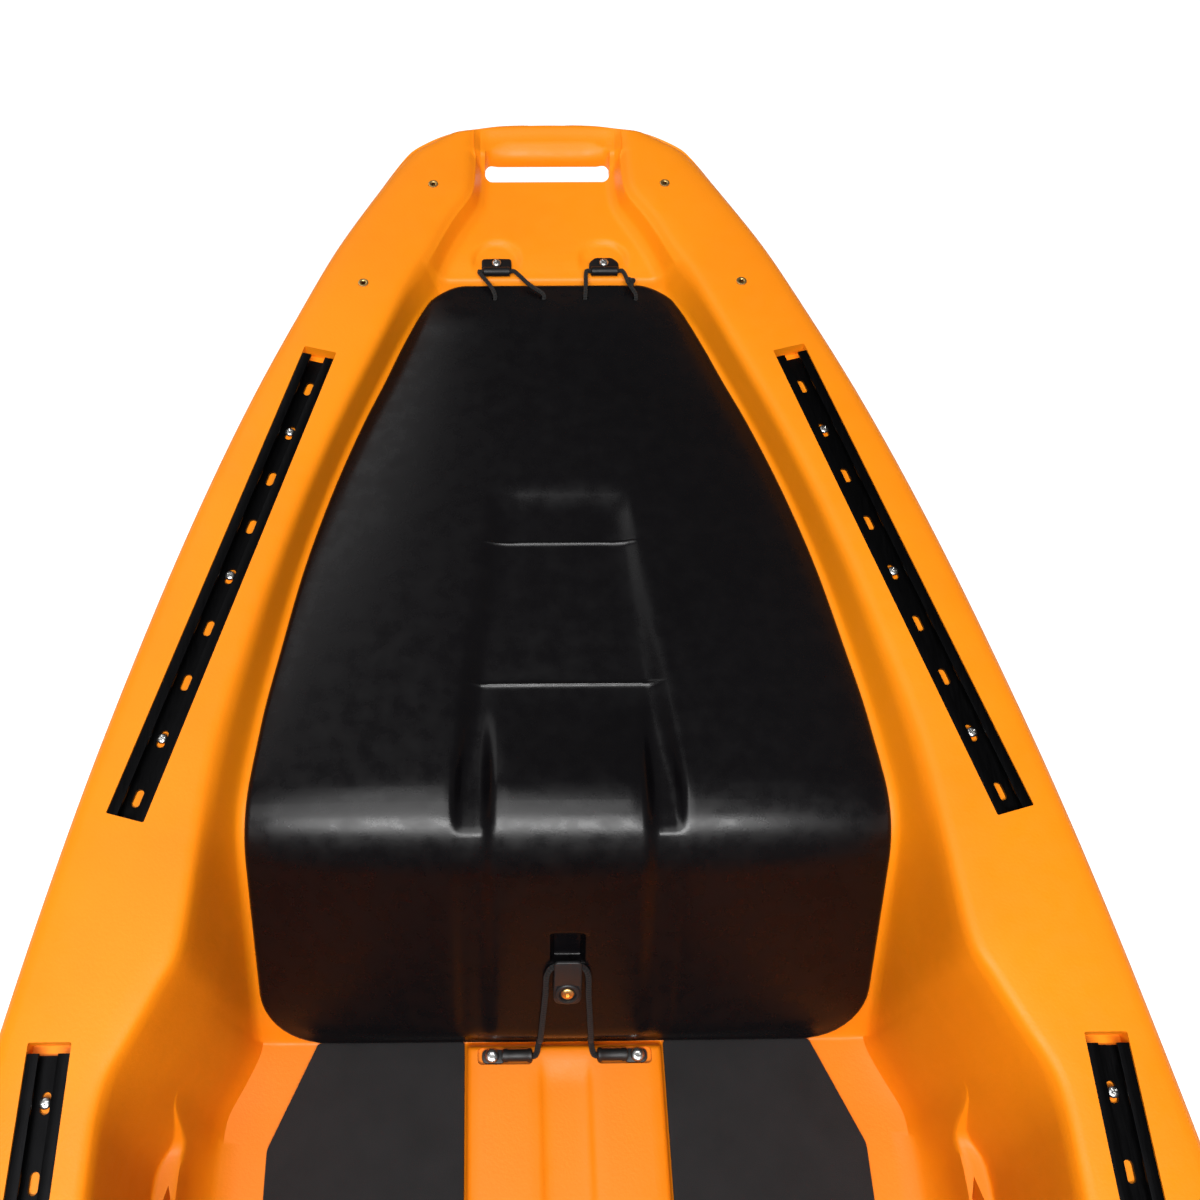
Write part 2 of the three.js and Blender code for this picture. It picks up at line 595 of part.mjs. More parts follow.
// Rows of the lid and its gasket: some at shares of their length, and one at each turn of the seat.
const bendPlaces = seatPath.getCurveLengths().slice(0, -1);
const rowsAt = (first, last, shares) => [
  ...shares.map((share) => THREE.MathUtils.lerp(first, last, share)), ...bendPlaces,
].sort((a, b) => a - b).map(seatFrame);
const lidRowShares = [
  0, 0.012, 0.025, 0.05, 0.09, 0.15, 0.22, 0.286, 0.33, 0.37, 0.45, 0.53, 0.61, 0.82, 0.88, 0.93,
  0.965, 0.988, 1,
];
const lidRows = rowsAt(lidStart, lidEnd, lidRowShares);
function lidColumns(half) {
  const inner = half - hatchRim;
  const scale = Math.min(1, (inner * 0.75) / (panelHalf + 2 * troughHalf));
  const near = [0, panelHalf / 2, panelHalf, panelHalf + troughHalf, panelHalf + 2 * troughHalf]
    .map((x) => x * scale);
  const last = near[near.length - 1];
  const right = [...near, (last + inner) / 2, inner, half - hatchRim / 3, half];
  return [...right.slice(1).map((x) => -x).reverse(), ...right];
}
function lidSurface(thick) {
  return lidRows.map((frame) => {
    const half = lidHalf(frame);
    return lidColumns(half).map((x) => onSeat(frame, x, lidLift(frame, x, half) + thick));
  });
}
const lidTop = lidSurface(hatchThickness);
const lidRings = lidSurface(0).map((row, i) => [...row, ...lidTop[i].slice().reverse()]);
let lid = solid(loft(lidRings));

// Gasket: a rubber ring on the seat, all the way round the opening.
const gasketInset = 10;
const gasketWidth = 10;
const gasketRowShares = [0, 0.008, 0.025, 0.06, 0.15, 0.26, 0.38, 0.52, 0.64, 0.88, 0.96, 0.985, 1];
function gasketRing(inset, lift) {
  const [first, last] = [lidStart + inset, lidEnd - inset];
  const places = rowsAt(first, last, gasketRowShares);
  const half = (frame) => cockpitFoot(frame.aft) - hatchGap - inset
    - cornerLoss(hatchCorner, frame.distance - first) - cornerLoss(hatchFootCorner, last - frame.distance);
  const right = places.map((frame) => onSeat(frame, half(frame), lift));
  const left = places.map((frame) => onSeat(frame, -half(frame), lift)).reverse();
  return [...right, ...left];
}
function ringOf(sections) {
  const count = sections[0].length;
  const index = [];
  for (let s = 0; s < sections.length; s += 1) {
    const next = (s + 1) % sections.length;
    for (let i = 0; i < count; i += 1) {
      const [a, b] = [s * count + i, s * count + ((i + 1) % count)];
      const [c, d] = [next * count + i, next * count + ((i + 1) % count)];
      index.push(a, b, c, b, d, c);
    }
  }
  return new THREE.BufferGeometry().setFromPoints(sections.flat()).setIndex(index);
}
const gasketHigh = gasketHeight;
add("hatch_gasket", ringOf([
  gasketRing(gasketInset, clearance), gasketRing(gasketInset + gasketWidth, clearance),
  gasketRing(gasketInset + gasketWidth, gasketHigh), gasketRing(gasketInset, gasketHigh),
]), blackRubber);

// Hinge clips: a plate screwed down in a pocket of the pan, with a barrel that a cord runs through.
const clipOut = 53; // from the middle of the hull
const clipWidth = 30;
const clipPlate = 3.5;
const clipReach = 11; // from the screw to the barrel
const clipFront = 7;
const barrelRadius = 4.6;
const cordRadius = 2.1;
const cordRoom = 0.9; // round the cord in its barrel and in the lid's holes
const clipPocketDepth = 4;
const clipPocketWidth = 48;
const clipAft = hatchFront - clipReach - barrelRadius - 2 * cordRadius;
const clipFloor = panDepth + clipPocketDepth;
const barrelRise = barrelRadius;
const clipFaces = 12;
const cordHoleBack = 22; // the lid's cord holes, aft of its front edge
const cordHoleOut = { left: [-55, -8], right: [33, 82] };
const cordFaces = 6;
const cordSlack = 3; // over the lid
const cordLift = cordRadius + cordSlack;
const cordSteps = 34;
const cordTension = 0.4;
const clipPocketCorner = clipPocketWidth / 2 - clearance;
const knotRadius = 4;

for (const [sideName, side] of sides) {
  const frame = gunwaleFrame(side * clipOut, clipAft, 0, clipFloor);
  const pocketLength = hatchFront - clipAft + clipPocketWidth / 2 + overrun;
  cut(slot(clipPocketWidth, pocketLength, clipPocketCorner, 0, overrun, 4)
    .translate(0, clipPocketWidth / 2 - pocketLength / 2 + clipReach, 0), frame);
  const plate = slot(clipWidth, clipFront + clipReach, clipPlate / 2, clearance, clearance + clipPlate, 2)
    .translate(0, (clipFront - clipReach) / 2, 0);
  const barrelAt = [-clipReach, clearance + barrelRise];
  const across = (radius, length, faces) => rod(
    new THREE.Vector3(-length / 2, ...barrelAt), new THREE.Vector3(length / 2, ...barrelAt), radius, faces,
  );
  const body = joined([plate, across(barrelRadius, clipWidth - clipFront, clipFaces)])
    .subtract(solid(across(cordRadius + cordRoom, clipWidth + overrun, clipFaces)))
    .subtract(solid(hole(shankRadius, overrun)));
  add(`hinge_clip_${sideName}`, shown(body), darkPlastic, frame);
  const top = frame.clone().multiply(new THREE.Matrix4().makeTranslation(0, clearance, clipPlate + 2 * clearance));
  cut(screwHole(), top);
  add(`hinge_screw_${sideName}`, screw(), steel, top);

  // Hinge cord: from a knot under the lid, up, through the barrel, and back down under the lid.
  const barrel = new THREE.Vector3(0, ...barrelAt).applyMatrix4(frame);
  const rowFrame = seatFrame(lidStart + cordHoleBack);
  const half = lidHalf(rowFrame);
  const ends = cordHoleOut[sideName].map((x) => {
    const under = onSeat(rowFrame, x, lidLift(rowFrame, x, half));
    const through = rod(under.clone().setZ(under.z - overrun), under.clone().setZ(under.z + overrun),
      cordRadius + cordRoom, holeFaces);
    lid = lid.subtract(solid(through));
    return { x, y: under.y, top: under.z + hatchThickness, low: under.z - knotRadius };
  });
  const barrelHalf = clipWidth / 2 + cordRadius + cordRoom;
  const point = (x, y, z) => new THREE.Vector3(x, y, z);
  const [a, b] = ends;
  const run = [
    point(a.x, a.y, a.low), point(a.x, a.y, a.top), point(a.x, a.y + cordLift, a.top + cordLift),
    point((a.x + barrel.x - barrelHalf) / 2, (a.y + barrel.y) / 2, Math.max(barrel.z, a.top) + cordLift),
    point(barrel.x - barrelHalf, barrel.y - cordRadius, barrel.z + cordRadius),
    point(barrel.x - clipWidth / 2 + cordRadius, barrel.y, barrel.z), barrel,
    point(barrel.x + clipWidth / 2 - cordRadius, barrel.y, barrel.z),
    point(barrel.x + barrelHalf, barrel.y - cordRadius, barrel.z + cordRadius),
    point((b.x + barrel.x + barrelHalf) / 2, (b.y + barrel.y) / 2, Math.max(barrel.z, b.top) + cordLift),
    point(b.x, b.y + cordLift, b.top + cordLift), point(b.x, b.y, b.top), point(b.x, b.y, b.low),
  ];
  const knots = ends.map((end) =>
    new THREE.SphereGeometry(knotRadius, cordFaces, 4).translate(end.x, end.y, end.low));
  const cord = tube(run, cordRadius, cordFaces, cordSteps, cordTension);
  add(`hinge_cord_${sideName}`, shown(joined([cord, ...knots])), blackCord);
}

// Latch: a hook screwed to the lid's aft face, held down by a bungee from two sleeves on the spine.
const hookPlace = 0.9; // share of the way down the lid
const hookWidth = 26;
const hookBody = 30; // along the slope
const hookHeight = 9;
const hookTab = 13; // the tab that overhangs the bungee
const hookTabThickness = 3;
const bungeeRadius = 2.5;
const bungeeRoom = 0.6;
const latchScrewRadius = 6.5;
const latchScrewHeight = 3;
const latchScrewLength = 10;
const hookRow = seatFrame(THREE.MathUtils.lerp(lidStart, lidEnd, hookPlace));
const hookLift = lidLift(hookRow, 0, lidHalf(hookRow)) + hatchThickness;
const hookOrigin = onSeat(hookRow, 0, hookLift + clearance);
const hookOut = new THREE.Vector3(0, -hookRow.out[0], hookRow.out[1]);
const hookUp = new THREE.Vector3(0, hookRow.out[1], hookRow.out[0]);
const hookFrame = new THREE.Matrix4()
  .makeBasis(new THREE.Vector3(1, 0, 0), hookUp, hookOut).setPosition(hookOrigin);
const throat = 2 * (bungeeRadius + bungeeRoom); // room for the bungee under the tab
const hookBack = hookBody / 2;
const hookOutline = new THREE.Shape([
  [-hookBack, 0], [hookBack, 0], [hookBack, throat], [hookBack + hookTab, throat + bungeeRoom],
  [hookBack + hookTab, throat + hookTabThickness], [-hookBack / 2, hookHeight], [-hookBack, hookHeight / 2],
].map(([y, z]) => new THREE.Vector2(y, z)));
const hookBlock = new THREE.ExtrudeGeometry(hookOutline, { depth: hookWidth, bevelEnabled: false })
  .translate(0, 0, -hookWidth / 2).applyMatrix4(new THREE.Matrix4().set(
    0, 0, 1, 0, 1, 0, 0, 0, 0, 1, 0, 0, 0, 0, 0, 1,
  ));
add("latch_hook", shown(solid(hookBlock).subtract(solid(hole(shankRadius, overrun)))),
  darkPlastic, hookFrame);
const latchScrewFrame = hookFrame.clone()
  .multiply(new THREE.Matrix4().makeTranslation(0, 0, hookHeight + clearance));
add("latch_screw", screw(latchScrewRadius, latchScrewHeight, latchScrewLength + hookHeight), brass,
  latchScrewFrame);
lid = lid.subtract(solid(screwHole(latchScrewLength + hookHeight).applyMatrix4(latchScrewFrame)));
add("bow_hatch", shown(lid), blackShell);

// Latch sleeves: they grip the bungee's ends, each bolted down in a pocket of the spine.
const sleeveIn = 28; // from the middle of the hull to the sleeve's mouth
const sleeveLength = 26;
const sleeveRadius = 6;
const sleeveGrip = 16; // length of bungee inside a sleeve
const sleeveTab = 20;
const sleeveTabThickness = 3;
const sleevePocketDepth = 5;
const sleeveBoltRadius = 6.5;
const sleeveBoltHeight = 5;
const sleeveAft = spineFront + sleeveRadius;
const sleeveFloor = spineTop - sleevePocketDepth;
const sleeveHigh = sleeveFloor + clearance + sleeveRadius;
const sleeveEnd = sleeveIn + sleeveLength;
const sleevePocketLength = sleeveLength + sleeveTab + 4 * clearance;
for (const [sideName, side] of sides) {
  const at = (x, z = sleeveHigh) => new THREE.Vector3(side * x, along(sleeveAft), z);
  cut(slot(sleevePocketLength, 2 * sleeveRadius + 4 * clearance, sleeveRadius / 2, 0, overrun)
    .translate(side * (sleeveIn - 2 * clearance + sleevePocketLength / 2), along(sleeveAft), sleeveFloor));
  const tabMiddle = sleeveEnd + sleeveTab / 2 - sleeveTabThickness;
  const tabBottom = sleeveFloor + clearance;
  const tab = slot(sleeveTab, 2 * sleeveRadius, sleeveTabThickness, tabBottom, tabBottom + sleeveTabThickness)
    .translate(side * tabMiddle, along(sleeveAft), 0);
  const boltFrame = new THREE.Matrix4().makeTranslation(
    side * (tabMiddle + sleeveTabThickness / 2), along(sleeveAft), tabBottom + sleeveTabThickness + clearance);
  const body = joined([rod(at(sleeveIn), at(sleeveEnd), sleeveRadius), tab])
    .subtract(solid(rod(at(sleeveIn - overrun), at(sleeveIn + sleeveGrip + clearance), bungeeRadius + bungeeRoom)))
    .subtract(solid(rod(at(sleeveEnd + clearance, sleeveHigh + sleeveTabThickness),
      at(sleeveEnd + sleeveTab, sleeveHigh + sleeveTabThickness), sleeveRadius)))
    .subtract(solid(screwHole().applyMatrix4(boltFrame)));
  add(`latch_sleeve_${sideName}`, shown(body), blackRubber);
  cut(screwHole(), boltFrame);
  add(`latch_bolt_${sideName}`, screw(sleeveBoltRadius, sleeveBoltHeight), steel, boltFrame);
}

// Latch bungee: out of one sleeve, up the lid's aft face, under the hook's tab and down to the other.
const onLid = (distance, x, above) => {
  const frame = seatFrame(distance);
  return onSeat(frame, x, lidLift(frame, x, lidHalf(frame)) + hatchThickness + above);
};
const bungeeOver = bungeeRadius + bungeeRoom;
const bungeeClear = bungeeRadius + 4 * bungeeRoom; // its middle over the lid, on the way up
const hookPoint = (x, y) => new THREE.Vector3(x, y, bungeeOver).applyMatrix4(hookFrame);
const bungeeSide = (side) => [
  new THREE.Vector3(side * (sleeveIn + sleeveGrip), along(sleeveAft), sleeveHigh),
  new THREE.Vector3(side * (sleeveIn + bungeeOver), along(sleeveAft), sleeveHigh),
  new THREE.Vector3(side * (sleeveIn - bungeeOver), along(sleeveAft), sleeveHigh + bungeeRoom),
  onLid(lidEnd - hatchRim / 2, side * (sleeveIn - 2 * bungeeOver), 2 * bungeeOver),
  onLid(lidEnd - 2 * hatchRim, side * (sleeveIn - 2 * bungeeOver), bungeeClear + 2 * bungeeRoom),
  hookPoint(side * (hookWidth / 2 + bungeeClear), -hookBack / 2),
  hookPoint(side * (hookWidth / 2 + bungeeClear), hookBack - bungeeRadius),
  hookPoint(side * (hookWidth / 2 - bungeeRadius), hookBack + bungeeClear),
];
const bungeeRoute = [...bungeeSide(-1), ...bungeeSide(1).reverse()];
const bungeeSteps = 48;
add("latch_bungee", tube(bungeeRoute, bungeeRadius, cordFaces, bungeeSteps, cordTension), blackCord);

// Deck pads: two foam sheets in the footwell, either side of the spine.
const padThickness = 5;
const padGap = 2; // from the spine
const padShares = [0.2335, 0.2563, 0.44]; // front, knee and back
const padOutShares = [0.44, 0.518]; // front and knee
const padCorner = 30;
for (const [sideName, side] of sides) {
  const inner = spineWidth / 2 + padGap;
  const [front, knee, back] = padShares.map((share) => along(afterNose(share)));
  const [outFront, outKnee] = padOutShares.map((share) => share * halfBeam);
  const outline = new THREE.Shape();
  outline.moveTo(side * inner, front);
  outline.lineTo(side * outFront, front);
  outline.lineTo(side * outKnee, knee);
  outline.lineTo(side * outKnee, back + padCorner);
  outline.quadraticCurveTo(side * outKnee, back, side * (outKnee - padCorner), back);
  outline.lineTo(side * inner, back);
  const pad = new THREE.ExtrudeGeometry(outline, { depth: padThickness, bevelEnabled: false, curveSegments: 4 });
  add(`deck_pad_${sideName}`, pad, foam, new THREE.Matrix4().makeTranslation(0, 0, floorHeight + clearance));
}

// Scupper drains: tubes from the decks down through the bottom.
const scupperRadius = 15;
const scupperPlaces = [
  { afterShare: 0.4445, outShare: 0.5, floor: floorHeight },
  { afterShare: 0.597, outShare: 0.5, floor: seatDeckHeight },
  { afterShare: 0.845, outShare: 0.2, floor: tankFloorHeight },
];
for (const { afterShare, outShare, floor } of scupperPlaces) {
  for (const [, side] of sides) {
    const place = new THREE.Matrix4().makeTranslation(side * outShare * halfBeam, along(afterNose(afterShare)), 0);
    const pipe = (radius) => turned([[0, -overrun], [radius, -overrun], [radius, floor + overrun],
      [0, floor + overrun]], screwFaces);
    recess(pipe(scupperRadius), pipe(scupperRadius + wall), place);
  }
}

// Seat: an aluminium frame on four legs, with a folding back, both covered by stretched mesh.
const seatShare = 0.5215; // middle of the seat base
const seatDepth = 420;
const seatWidth = 450; // between the rails' middles
const railRadius = 11;
const seatRise = 110; // rails over the seat deck
const crossDrop = 38; // cross tubes below the rails
const legInset = 30;
const backHeight = 430;
const backTilt = THREE.MathUtils.degToRad(12);
const backRadius = 10;
const pivotRise = 45; // over the rails
const pivotFront = 25; // ahead of the base's rear end
const earThickness = 6;
const earLength = 34;
const pivotRadius = 3;
const pivotHeadRadius = 6.5;
const stopHeight = 16;
const stopRise = 24; // stop lugs over the pivot
const stopCorner = 1;
const legRadius = 10;
const braceRadius = 8;
const slingThickness = 3;
const slingSag = 18;
const slingRows = 6;

const seatAft = afterNose(seatShare);
const railHeight = seatDeckHeight + seatRise;
const seatFrontY = along(seatAft) + seatDepth / 2;
const seatBackY = along(seatAft) - seatDepth / 2;
const railX = seatWidth / 2;
const pivotY = seatBackY + pivotFront;
const pivotZ = railHeight + pivotRise;
const uprightX = railX - earThickness / 2 - 2 * clearance - backRadius;
const v3 = (x, y, z) => new THREE.Vector3(x, y, z);
const baseTubes = [];
for (const [, side] of sides) {
  const x = side * railX;
  baseTubes.push(rod(v3(x, seatBackY, railHeight), v3(x, seatFrontY, railHeight), railRadius));
  for (const y of [seatFrontY - legInset, seatBackY + legInset + pivotFront])
    baseTubes.push(rod(v3(x, y, seatDeckHeight + clearance), v3(x, y, railHeight), legRadius));
  const ear = slot(earThickness, earLength, earThickness / 3, railHeight, pivotZ + earLength / 2, 2);
  baseTubes.push(ear.translate(x, pivotY, 0));
  const lugY = pivotY - backRadius - earThickness / 2 - 2 * clearance - stopRise * Math.tan(backTilt);
  const lug = slot(railX - uprightX + earThickness, earThickness, stopCorner, pivotZ + earLength / 2 - stopHeight,
    pivotZ + earLength / 2, 2);
  baseTubes.push(lug.translate(side * (railX + uprightX) / 2, lugY, 0));
}
for (const y of [seatFrontY - legInset, seatBackY + legInset + pivotFront]) {
  const z = railHeight - crossDrop;
  baseTubes.push(rod(v3(-railX, y, z), v3(railX, y, z), legRadius));
}
const boltRun = (radius, side) => rod(v3(side * (uprightX - 2 * backRadius), pivotY, pivotZ),
  v3(side * (railX + 2 * backRadius), pivotY, pivotZ), radius);
const pivotHoles = sides.map(([, side]) => solid(boltRun(pivotRadius + clearance, side)));
const drilled = (body) => pivotHoles.reduce((left, pin) => left.subtract(pin), body);
add("seat_base_frame", shown(drilled(joined(baseTubes))), blackAluminium);

const backUp = v3(0, -Math.sin(backTilt), Math.cos(backTilt));
const backPoint = (x, up) => v3(x, pivotY, pivotZ).addScaledVector(backUp, up);
const cornerReach = 4 * backRadius;
const topHalf = uprightX - cornerReach + clearance;
const backTubes = [
  ...sides.map(([, side]) => rod(backPoint(side * uprightX, -backRadius),
    backPoint(side * uprightX, backHeight - cornerReach), backRadius)),
  ...sides.map(([, side]) => rod(backPoint(side * uprightX, backHeight - cornerReach - clearance),
    backPoint(side * (uprightX - cornerReach), backHeight), backRadius)),
  rod(backPoint(-topHalf, backHeight), backPoint(topHalf, backHeight), backRadius),
  rod(backPoint(-uprightX, 3 * backRadius), backPoint(uprightX, 3 * backRadius), braceRadius),
];
add("seat_back_frame", shown(drilled(joined(backTubes))), blackAluminium);
for (const [sideName, side] of sides) {
  const [inside, outside] = [uprightX - backRadius, railX + earThickness / 2];
  const run = (from, to, radius) =>
    rod(v3(side * from, pivotY, pivotZ), v3(side * to, pivotY, pivotZ), radius);
  const bolt = joined([
    run(inside - clearance, outside + 2 * clearance, pivotRadius),
    run(outside + clearance, outside + earThickness, pivotHeadRadius),
    run(inside - clearance, inside - earThickness, pivotHeadRadius),
  ]);
  add(`seat_pivot_bolt_${sideName}`, shown(bolt), steel);
}

// A sling: a sheet stretched over two tubes, that sags between them.
const slingSpreadShares = [0.3, 0.65, 0.9, 1];
function sling(tubeX, radius, from, to, place) {
  const inner = tubeX - radius;
  const right = [0, ...slingSpreadShares.map((share) => share * inner), tubeX + radius];
  const columns = [...right.slice(1).map((x) => -x).reverse(), ...right];
  const grid = (lift) => Array.from({ length: slingRows + 1 }, (_, r) => {
    const way = THREE.MathUtils.lerp(from, to, r / slingRows);
    return columns.map((x) => place(x, way, lift - slingSag * Math.max(1 - (x / inner) ** 2, 0)));
  });
  const upper = grid(slingThickness);
  return loft(grid(0).map((row, i) => [...row, ...upper[i].reverse()]));
}
const slingEdge = legInset / 2;
const onRails = railHeight + railRadius + clearance;
add("seat_base_sling", sling(railX, railRadius, seatFrontY - slingEdge, pivotY + earLength,
  (x, y, lift) => v3(x, y, onRails + lift)), meshCloth);
const backAhead = v3(0, Math.cos(backTilt), Math.sin(backTilt));
add("seat_back_sling", sling(uprightX, backRadius, 5 * backRadius, backHeight - cornerReach,
  (x, up, lift) => backPoint(x, up).addScaledVector(backAhead, backRadius + clearance + lift)), meshCloth);

// Flush rod holders, one through each gunwale behind the seat, leaning aft.
const holderShare = 0.629;
const holderOutShare = 0.83;
const holderRadius = 24;
const holderBore = 20.5;
const holderLength = 210;
const holderTilt = THREE.MathUtils.degToRad(30);
const flangeRadius = 38;
const flangeThickness = 5;
const holderFaces = 14;
const flangeRise = 2 * clearance; // over the gunwale
const downHolder = v3(0, Math.sin(holderTilt), -Math.cos(holderTilt));
for (const [sideName, side] of sides) {
  const aft = afterNose(holderShare);
  const frame = new THREE.Matrix4()
    .makeTranslation(side * holderOutShare * halfBeam, along(aft), gunwaleHeight(aft));
  const run = (radius, from, to) => rod(downHolder.clone().multiplyScalar(from),
    downHolder.clone().multiplyScalar(to), radius, holderFaces);
  const flange = turned([[0, flangeRise], [flangeRadius, flangeRise],
    [flangeRadius - flangeThickness / 2, flangeThickness], [0, flangeThickness]], holderFaces);
  const above = turned([[0, flangeThickness], [2 * flangeRadius, flangeThickness],
    [2 * flangeRadius, holderLength], [0, holderLength]], 4);
  const body = joined([flange, run(holderRadius, -2 * holderRadius, holderLength)])
    .subtract(solid(above))
    .subtract(solid(run(holderBore, -3 * holderRadius, holderLength - wall)));
  add(`rod_holder_${sideName}`, shown(body), darkPlastic, frame);
  cut(run(holderRadius + clearance, -3 * holderRadius, holderLength + clearance), frame);
}

// Side carry handles: a base on the hull's side, and a grip that swings up on its two pins.
const carryShare = 0.5;
const carryBase = 190;
const carryBaseHeight = 26;
const carryCorner = 1;
const carryPlate = 4;
const carryDrop = 36; // pins below the gunwale
const carryOut = 12; // pins out from the hull
const carryEar = 8;
const earAt = 82; // each side of the middle
const carryPinRadius = 3.2;
const carryArm = 70;
const carryArmRadius = 5;
const carryGripRadius = 11;
const carryGripLength = 110;
for (const [sideName, side] of sides) {
  const aft = afterNose(carryShare);
  const frame = new THREE.Matrix4().makeTranslation(
    side * (halfBreadth(aft) + clearance), along(aft), gunwaleHeight(aft) - carryDrop);
  const baseHalf = carryBaseHeight / 2;
  const block = (width, length, x, y) =>
    slot(width, length, carryCorner, -baseHalf, baseHalf, 2).translate(side * x, y, 0);
  const earOut = carryOut + 2 * carryPinRadius;
  const pin = (from, to, radius) => rod(v3(side * carryOut, from, 0), v3(side * carryOut, to, 0), radius);
  const base = joined([
    block(carryPlate, carryBase, carryPlate / 2, 0),
    block(earOut, carryEar, earOut / 2, earAt), block(earOut, carryEar, earOut / 2, -earAt),
  ]).subtract(solid(pin(-carryBase, carryBase, carryPinRadius + clearance)));
  add(`carry_handle_base_${sideName}`, shown(base), darkPlastic, frame);
  const armAt = earAt - carryEar / 2 - carryArmRadius - 2 * clearance;
  const pinEnd = earAt + carryEar;
  const at = (y, z) => v3(side * carryOut, y, z);
  const arm = (y) => rod(at(y, carryArmRadius), at(y, -carryArm), carryArmRadius);
  const low = (from, to, radius) => rod(at(from, -carryArm), at(to, -carryArm), radius);
  const bail = joined([
    arm(armAt), arm(-armAt), pin(armAt, pinEnd, carryPinRadius), pin(-armAt, -pinEnd, carryPinRadius),
    low(-armAt - carryArmRadius, armAt + carryArmRadius, carryArmRadius),
    low(-carryGripLength / 2, carryGripLength / 2, carryGripRadius),
  ]);
  add(`carry_handle_${sideName}`, shown(bail), blackRubber, frame);
}

// Tank well lashing: pad eyes on the well's edges, and two bungees that cross from side to side.
const eyeShares = [0.67, 0.75, 0.83];
const eyeOut = 22; // outside the well's edge
const eyeWidth = 30;
const eyeHeight = 19;
const eyeLength = 9;
const eyeHole = 11;
const eyeBase = 3;
const lashRadius = 3;
const lashRise = eyeBase + eyeHole / 2 + 2 * clearance;
const eyeMiddle = (index, side) => {
  const aft = afterNose(eyeShares[index]);
  return v3(side * (tankEdge(aft) + eyeOut), along(aft), gunwaleHeight(aft));
};
eyeShares.forEach((_, index) => {
  for (const [sideName, side] of sides) {
    const outline = new THREE.Shape();
    outline.moveTo(-eyeWidth / 2, 0);
    outline.lineTo(eyeWidth / 2, 0);
    outline.lineTo(eyeWidth / 2, eyeBase);
    outline.bezierCurveTo(eyeWidth / 4, eyeBase, eyeWidth / 3, eyeHeight, 0, eyeHeight);
    outline.bezierCurveTo(-eyeWidth / 3, eyeHeight, -eyeWidth / 4, eyeBase, -eyeWidth / 2, eyeBase);
    const opening = new THREE.Path();
    opening.absarc(0, eyeBase + eyeHole / 2, eyeHole / 2, 0, 2 * Math.PI, true);
    outline.holes.push(opening);
    const body = new THREE.ExtrudeGeometry(outline, { depth: eyeLength, bevelEnabled: false, curveSegments: 4 })
      .rotateX(Math.PI / 2).translate(0, eyeLength / 2, 2 * clearance);
    const { x, y, z } = eyeMiddle(index, side);
    add(`pad_eye_${index + 1}_${sideName}`, body, darkPlastic, new THREE.Matrix4().makeTranslation(x, y, z));
  }
});
const lashRoom = 2; // between the two cords where they cross
const lashSteps = 50;
for (const [name, first, crossing] of [["a", -1, 0], ["b", 1, 2 * lashRadius + lashRoom]]) {
  const route = [];
  eyeShares.forEach((_, index) => {
    const side = first * (index % 2 ? -1 : 1);
    const eye = eyeMiddle(index, side);
    const at = (y, inward = 0) => v3(eye.x - side * inward, eye.y + y, eye.z + lashRise);
    if (index > 0) route.push(at(4 * eyeLength, 3 * eyeLength));
    route.push(at(2 * eyeLength), at(eyeLength), at(-eyeLength), at(-2 * eyeLength));
    if (index < eyeShares.length - 1) {
      route.push(at(-4 * eyeLength, 3 * eyeLength));
      const next = eyeMiddle(index + 1, -side);
      route.push(eye.clone().lerp(next, 0.5).setZ((eye.z + next.z) / 2 + lashRise + crossing));
    }
  });
  const knots = [route[0], route[route.length - 1]].map((p, i) =>
    new THREE.SphereGeometry(2 * lashRadius, cordFaces, 4)
      .translate(p.x, p.y + (i ? -lashRadius : lashRadius), p.z));
  const cord = tube(route, lashRadius, cordFaces, lashSteps);
  add(`tank_bungee_${name}`, shown(joined([cord, ...knots])), blackCord);
}

// Drain plug: a knurled cap that screws into the stern deck.
const plugShare = 0.925;
const plugOut = 70;
const plugRadius = 17;
const plugCap = 8;
const plugRound = 2;
const plugFaces = 16;
const plugShank = 10;
const plugLength = 14;
const plugAft = afterNose(plugShare);
const plugFrame = new THREE.Matrix4().makeTranslation(plugOut, along(plugAft), gunwaleHeight(plugAft));
cut(hole(plugShank, plugLength + 2 * overrun), plugFrame);
add("drain_plug", turned([
  [0, -plugLength], [plugShank, -plugLength], [plugShank, 4 * clearance], [plugRadius, 4 * clearance],
  [plugRadius, plugCap], [plugRadius - plugRound, plugCap + plugRound / 2], [0, plugCap + plugRound / 2],
], plugFaces), darkPlastic, plugFrame);

const hollow = guarded.reduce((body, piece) => body.subtract(piece), hollowSkin);
const shell = outerSkin.subtract(hollow).add(solid(spine));
add("hull", shown(cuts.reduce((body, piece) => body.subtract(piece), shell)), orangeShell);

export default kayak;
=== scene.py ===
import math

import bmesh
import bpy
from mathutils import Matrix, Vector


